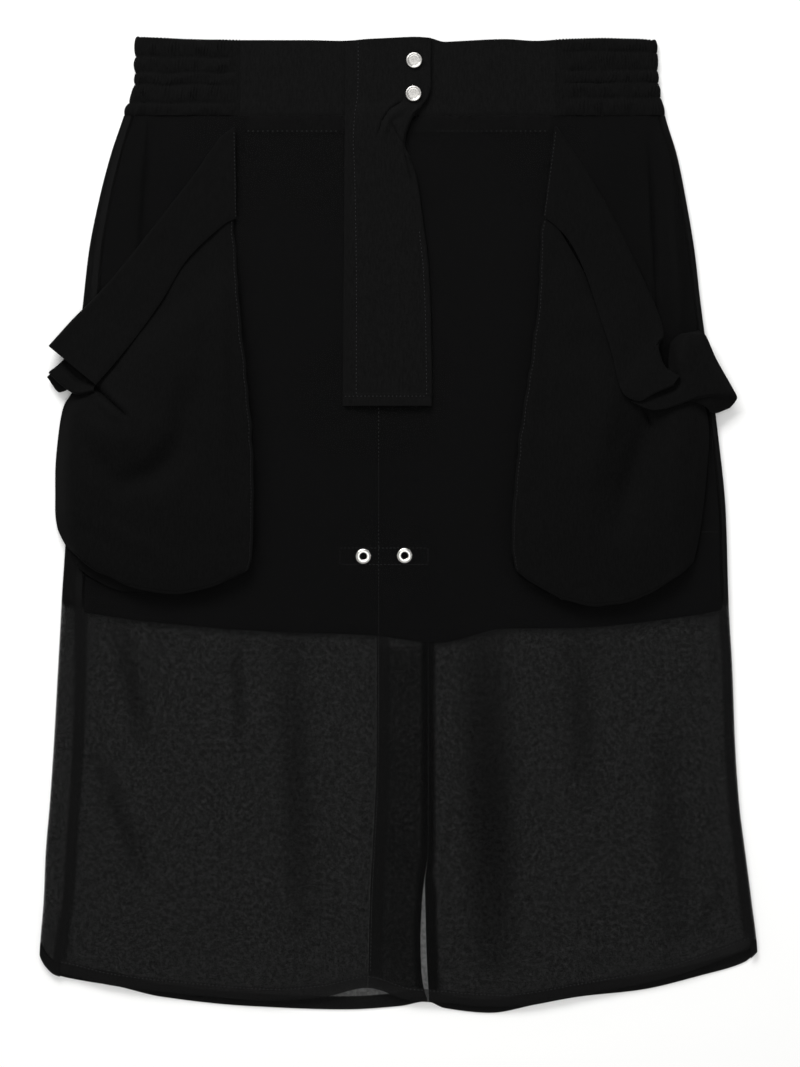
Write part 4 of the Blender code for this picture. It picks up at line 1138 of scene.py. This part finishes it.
def frontSeams():
    size = topstitching
    start, end, offset = size["centre"]
    down = np.linspace(start, end, 240)
    stitch("frontStitches", frontLine(follow(centreFront, "x", down, "down") + offset, down))
    for start, end in size["underBand"]:
        line = frontLine(np.linspace(start, end, 60), frontPanels["bandAllowance"])
        stitch("frontStitches", line - [0, 0, 0.17], size["underBandPitch"])
    left, right, top, bottom = size["patch"]
    corners = [(left, top), (right, top), (right, bottom), (left, bottom), (left, top)]
    for (x0, d0), (x1, d1) in zip(corners, corners[1:]):
        line = frontLine(np.linspace(x0, x1, 30), np.linspace(d0, d1, 30))
        stitch("frontStitches", line, size["patchPitch"])
    start, end, down = size["tack"]
    stitch("frontStitches", frontLine(np.linspace(start, end, 12), down), size["tackPitch"])


studio = {
    "ambient": 0.48,
    "lights": (
        ("keyLight", (-0.6, 1.75, 1.35), 1.7, 0.85, 47.0),
        ("overhead", (0.15, -0.3, 2.5), 1.6, 1.6, 18.0),
    ),
    "camera": (0.0011, -0.0052),  # over the middle of the picture
    "frameHeight": 0.79,
    "lens": 85.0,
    "sensor": 36.0,
}


def floorAndLight():
    # a white paper floor, a wide soft light beyond the waist, and an even overhead fill
    white = {"Base Color": linear("#f8f8f7"), "Roughness": 0.9, "Specular IOR Level": 0.1}
    paper, _, _ = newMaterial("whitePaper", white)
    bpy.ops.mesh.primitive_plane_add(size=8.0, location=(0, 0, -0.0003))
    floor = bpy.context.active_object
    floor.name = "floor"
    floor.data.materials.append(paper)
    world = bpy.data.worlds.new("studio")
    world.use_nodes = True
    sky = world.node_tree.nodes["Background"]
    sky.inputs["Color"].default_value = linear("#ffffff")
    sky.inputs["Strength"].default_value = studio["ambient"]
    bpy.context.scene.world = world
    for name, spot, width, depth, power in studio["lights"]:
        lamp = bpy.data.lights.new(name, "AREA")
        lamp.shape = "RECTANGLE"
        lamp.size, lamp.size_y, lamp.energy = width, depth, power
        light = bpy.data.objects.new(name, lamp)
        light.location = spot
        x, y, z = spot
        light.rotation_euler = (math.atan2(math.hypot(x, y), z), 0, math.atan2(-y, -x) - math.pi / 2)
        bpy.context.scene.collection.objects.link(light)


def camera():
    lens = bpy.data.cameras.new("camera")
    lens.lens, lens.sensor_fit, lens.sensor_height = studio["lens"], "VERTICAL", studio["sensor"]
    eye = bpy.data.objects.new("camera", lens)
    distance = studio["frameHeight"] * studio["lens"] / studio["sensor"]
    eye.location = (*studio["camera"], distance)
    bpy.context.scene.collection.objects.link(eye)
    bpy.context.scene.camera = eye


camera()
floorAndLight()
bpy.context.scene.view_settings.view_transform = "Standard"
bpy.context.scene.cycles.transparent_max_bounces = 24
print("camera, floor and lights")

for which in ("left", "right"):
    backPanel(which)
    frontPanel(which)
lining("back")
lining("front")
underlap()
print("panels and lining")

waistband(elasticSide("left"), elasticSide("right"))
placketStrip()
print("waistband and placket")

for which in ("left", "right"):
    gusset(which, bag(which))
    cuff(which)
    cuffEnd(which)
print("pockets")

snaps()
eyelets()
frontSeams()
sewSeams()
print("fastenings and", len(seams), "runs of stitching")
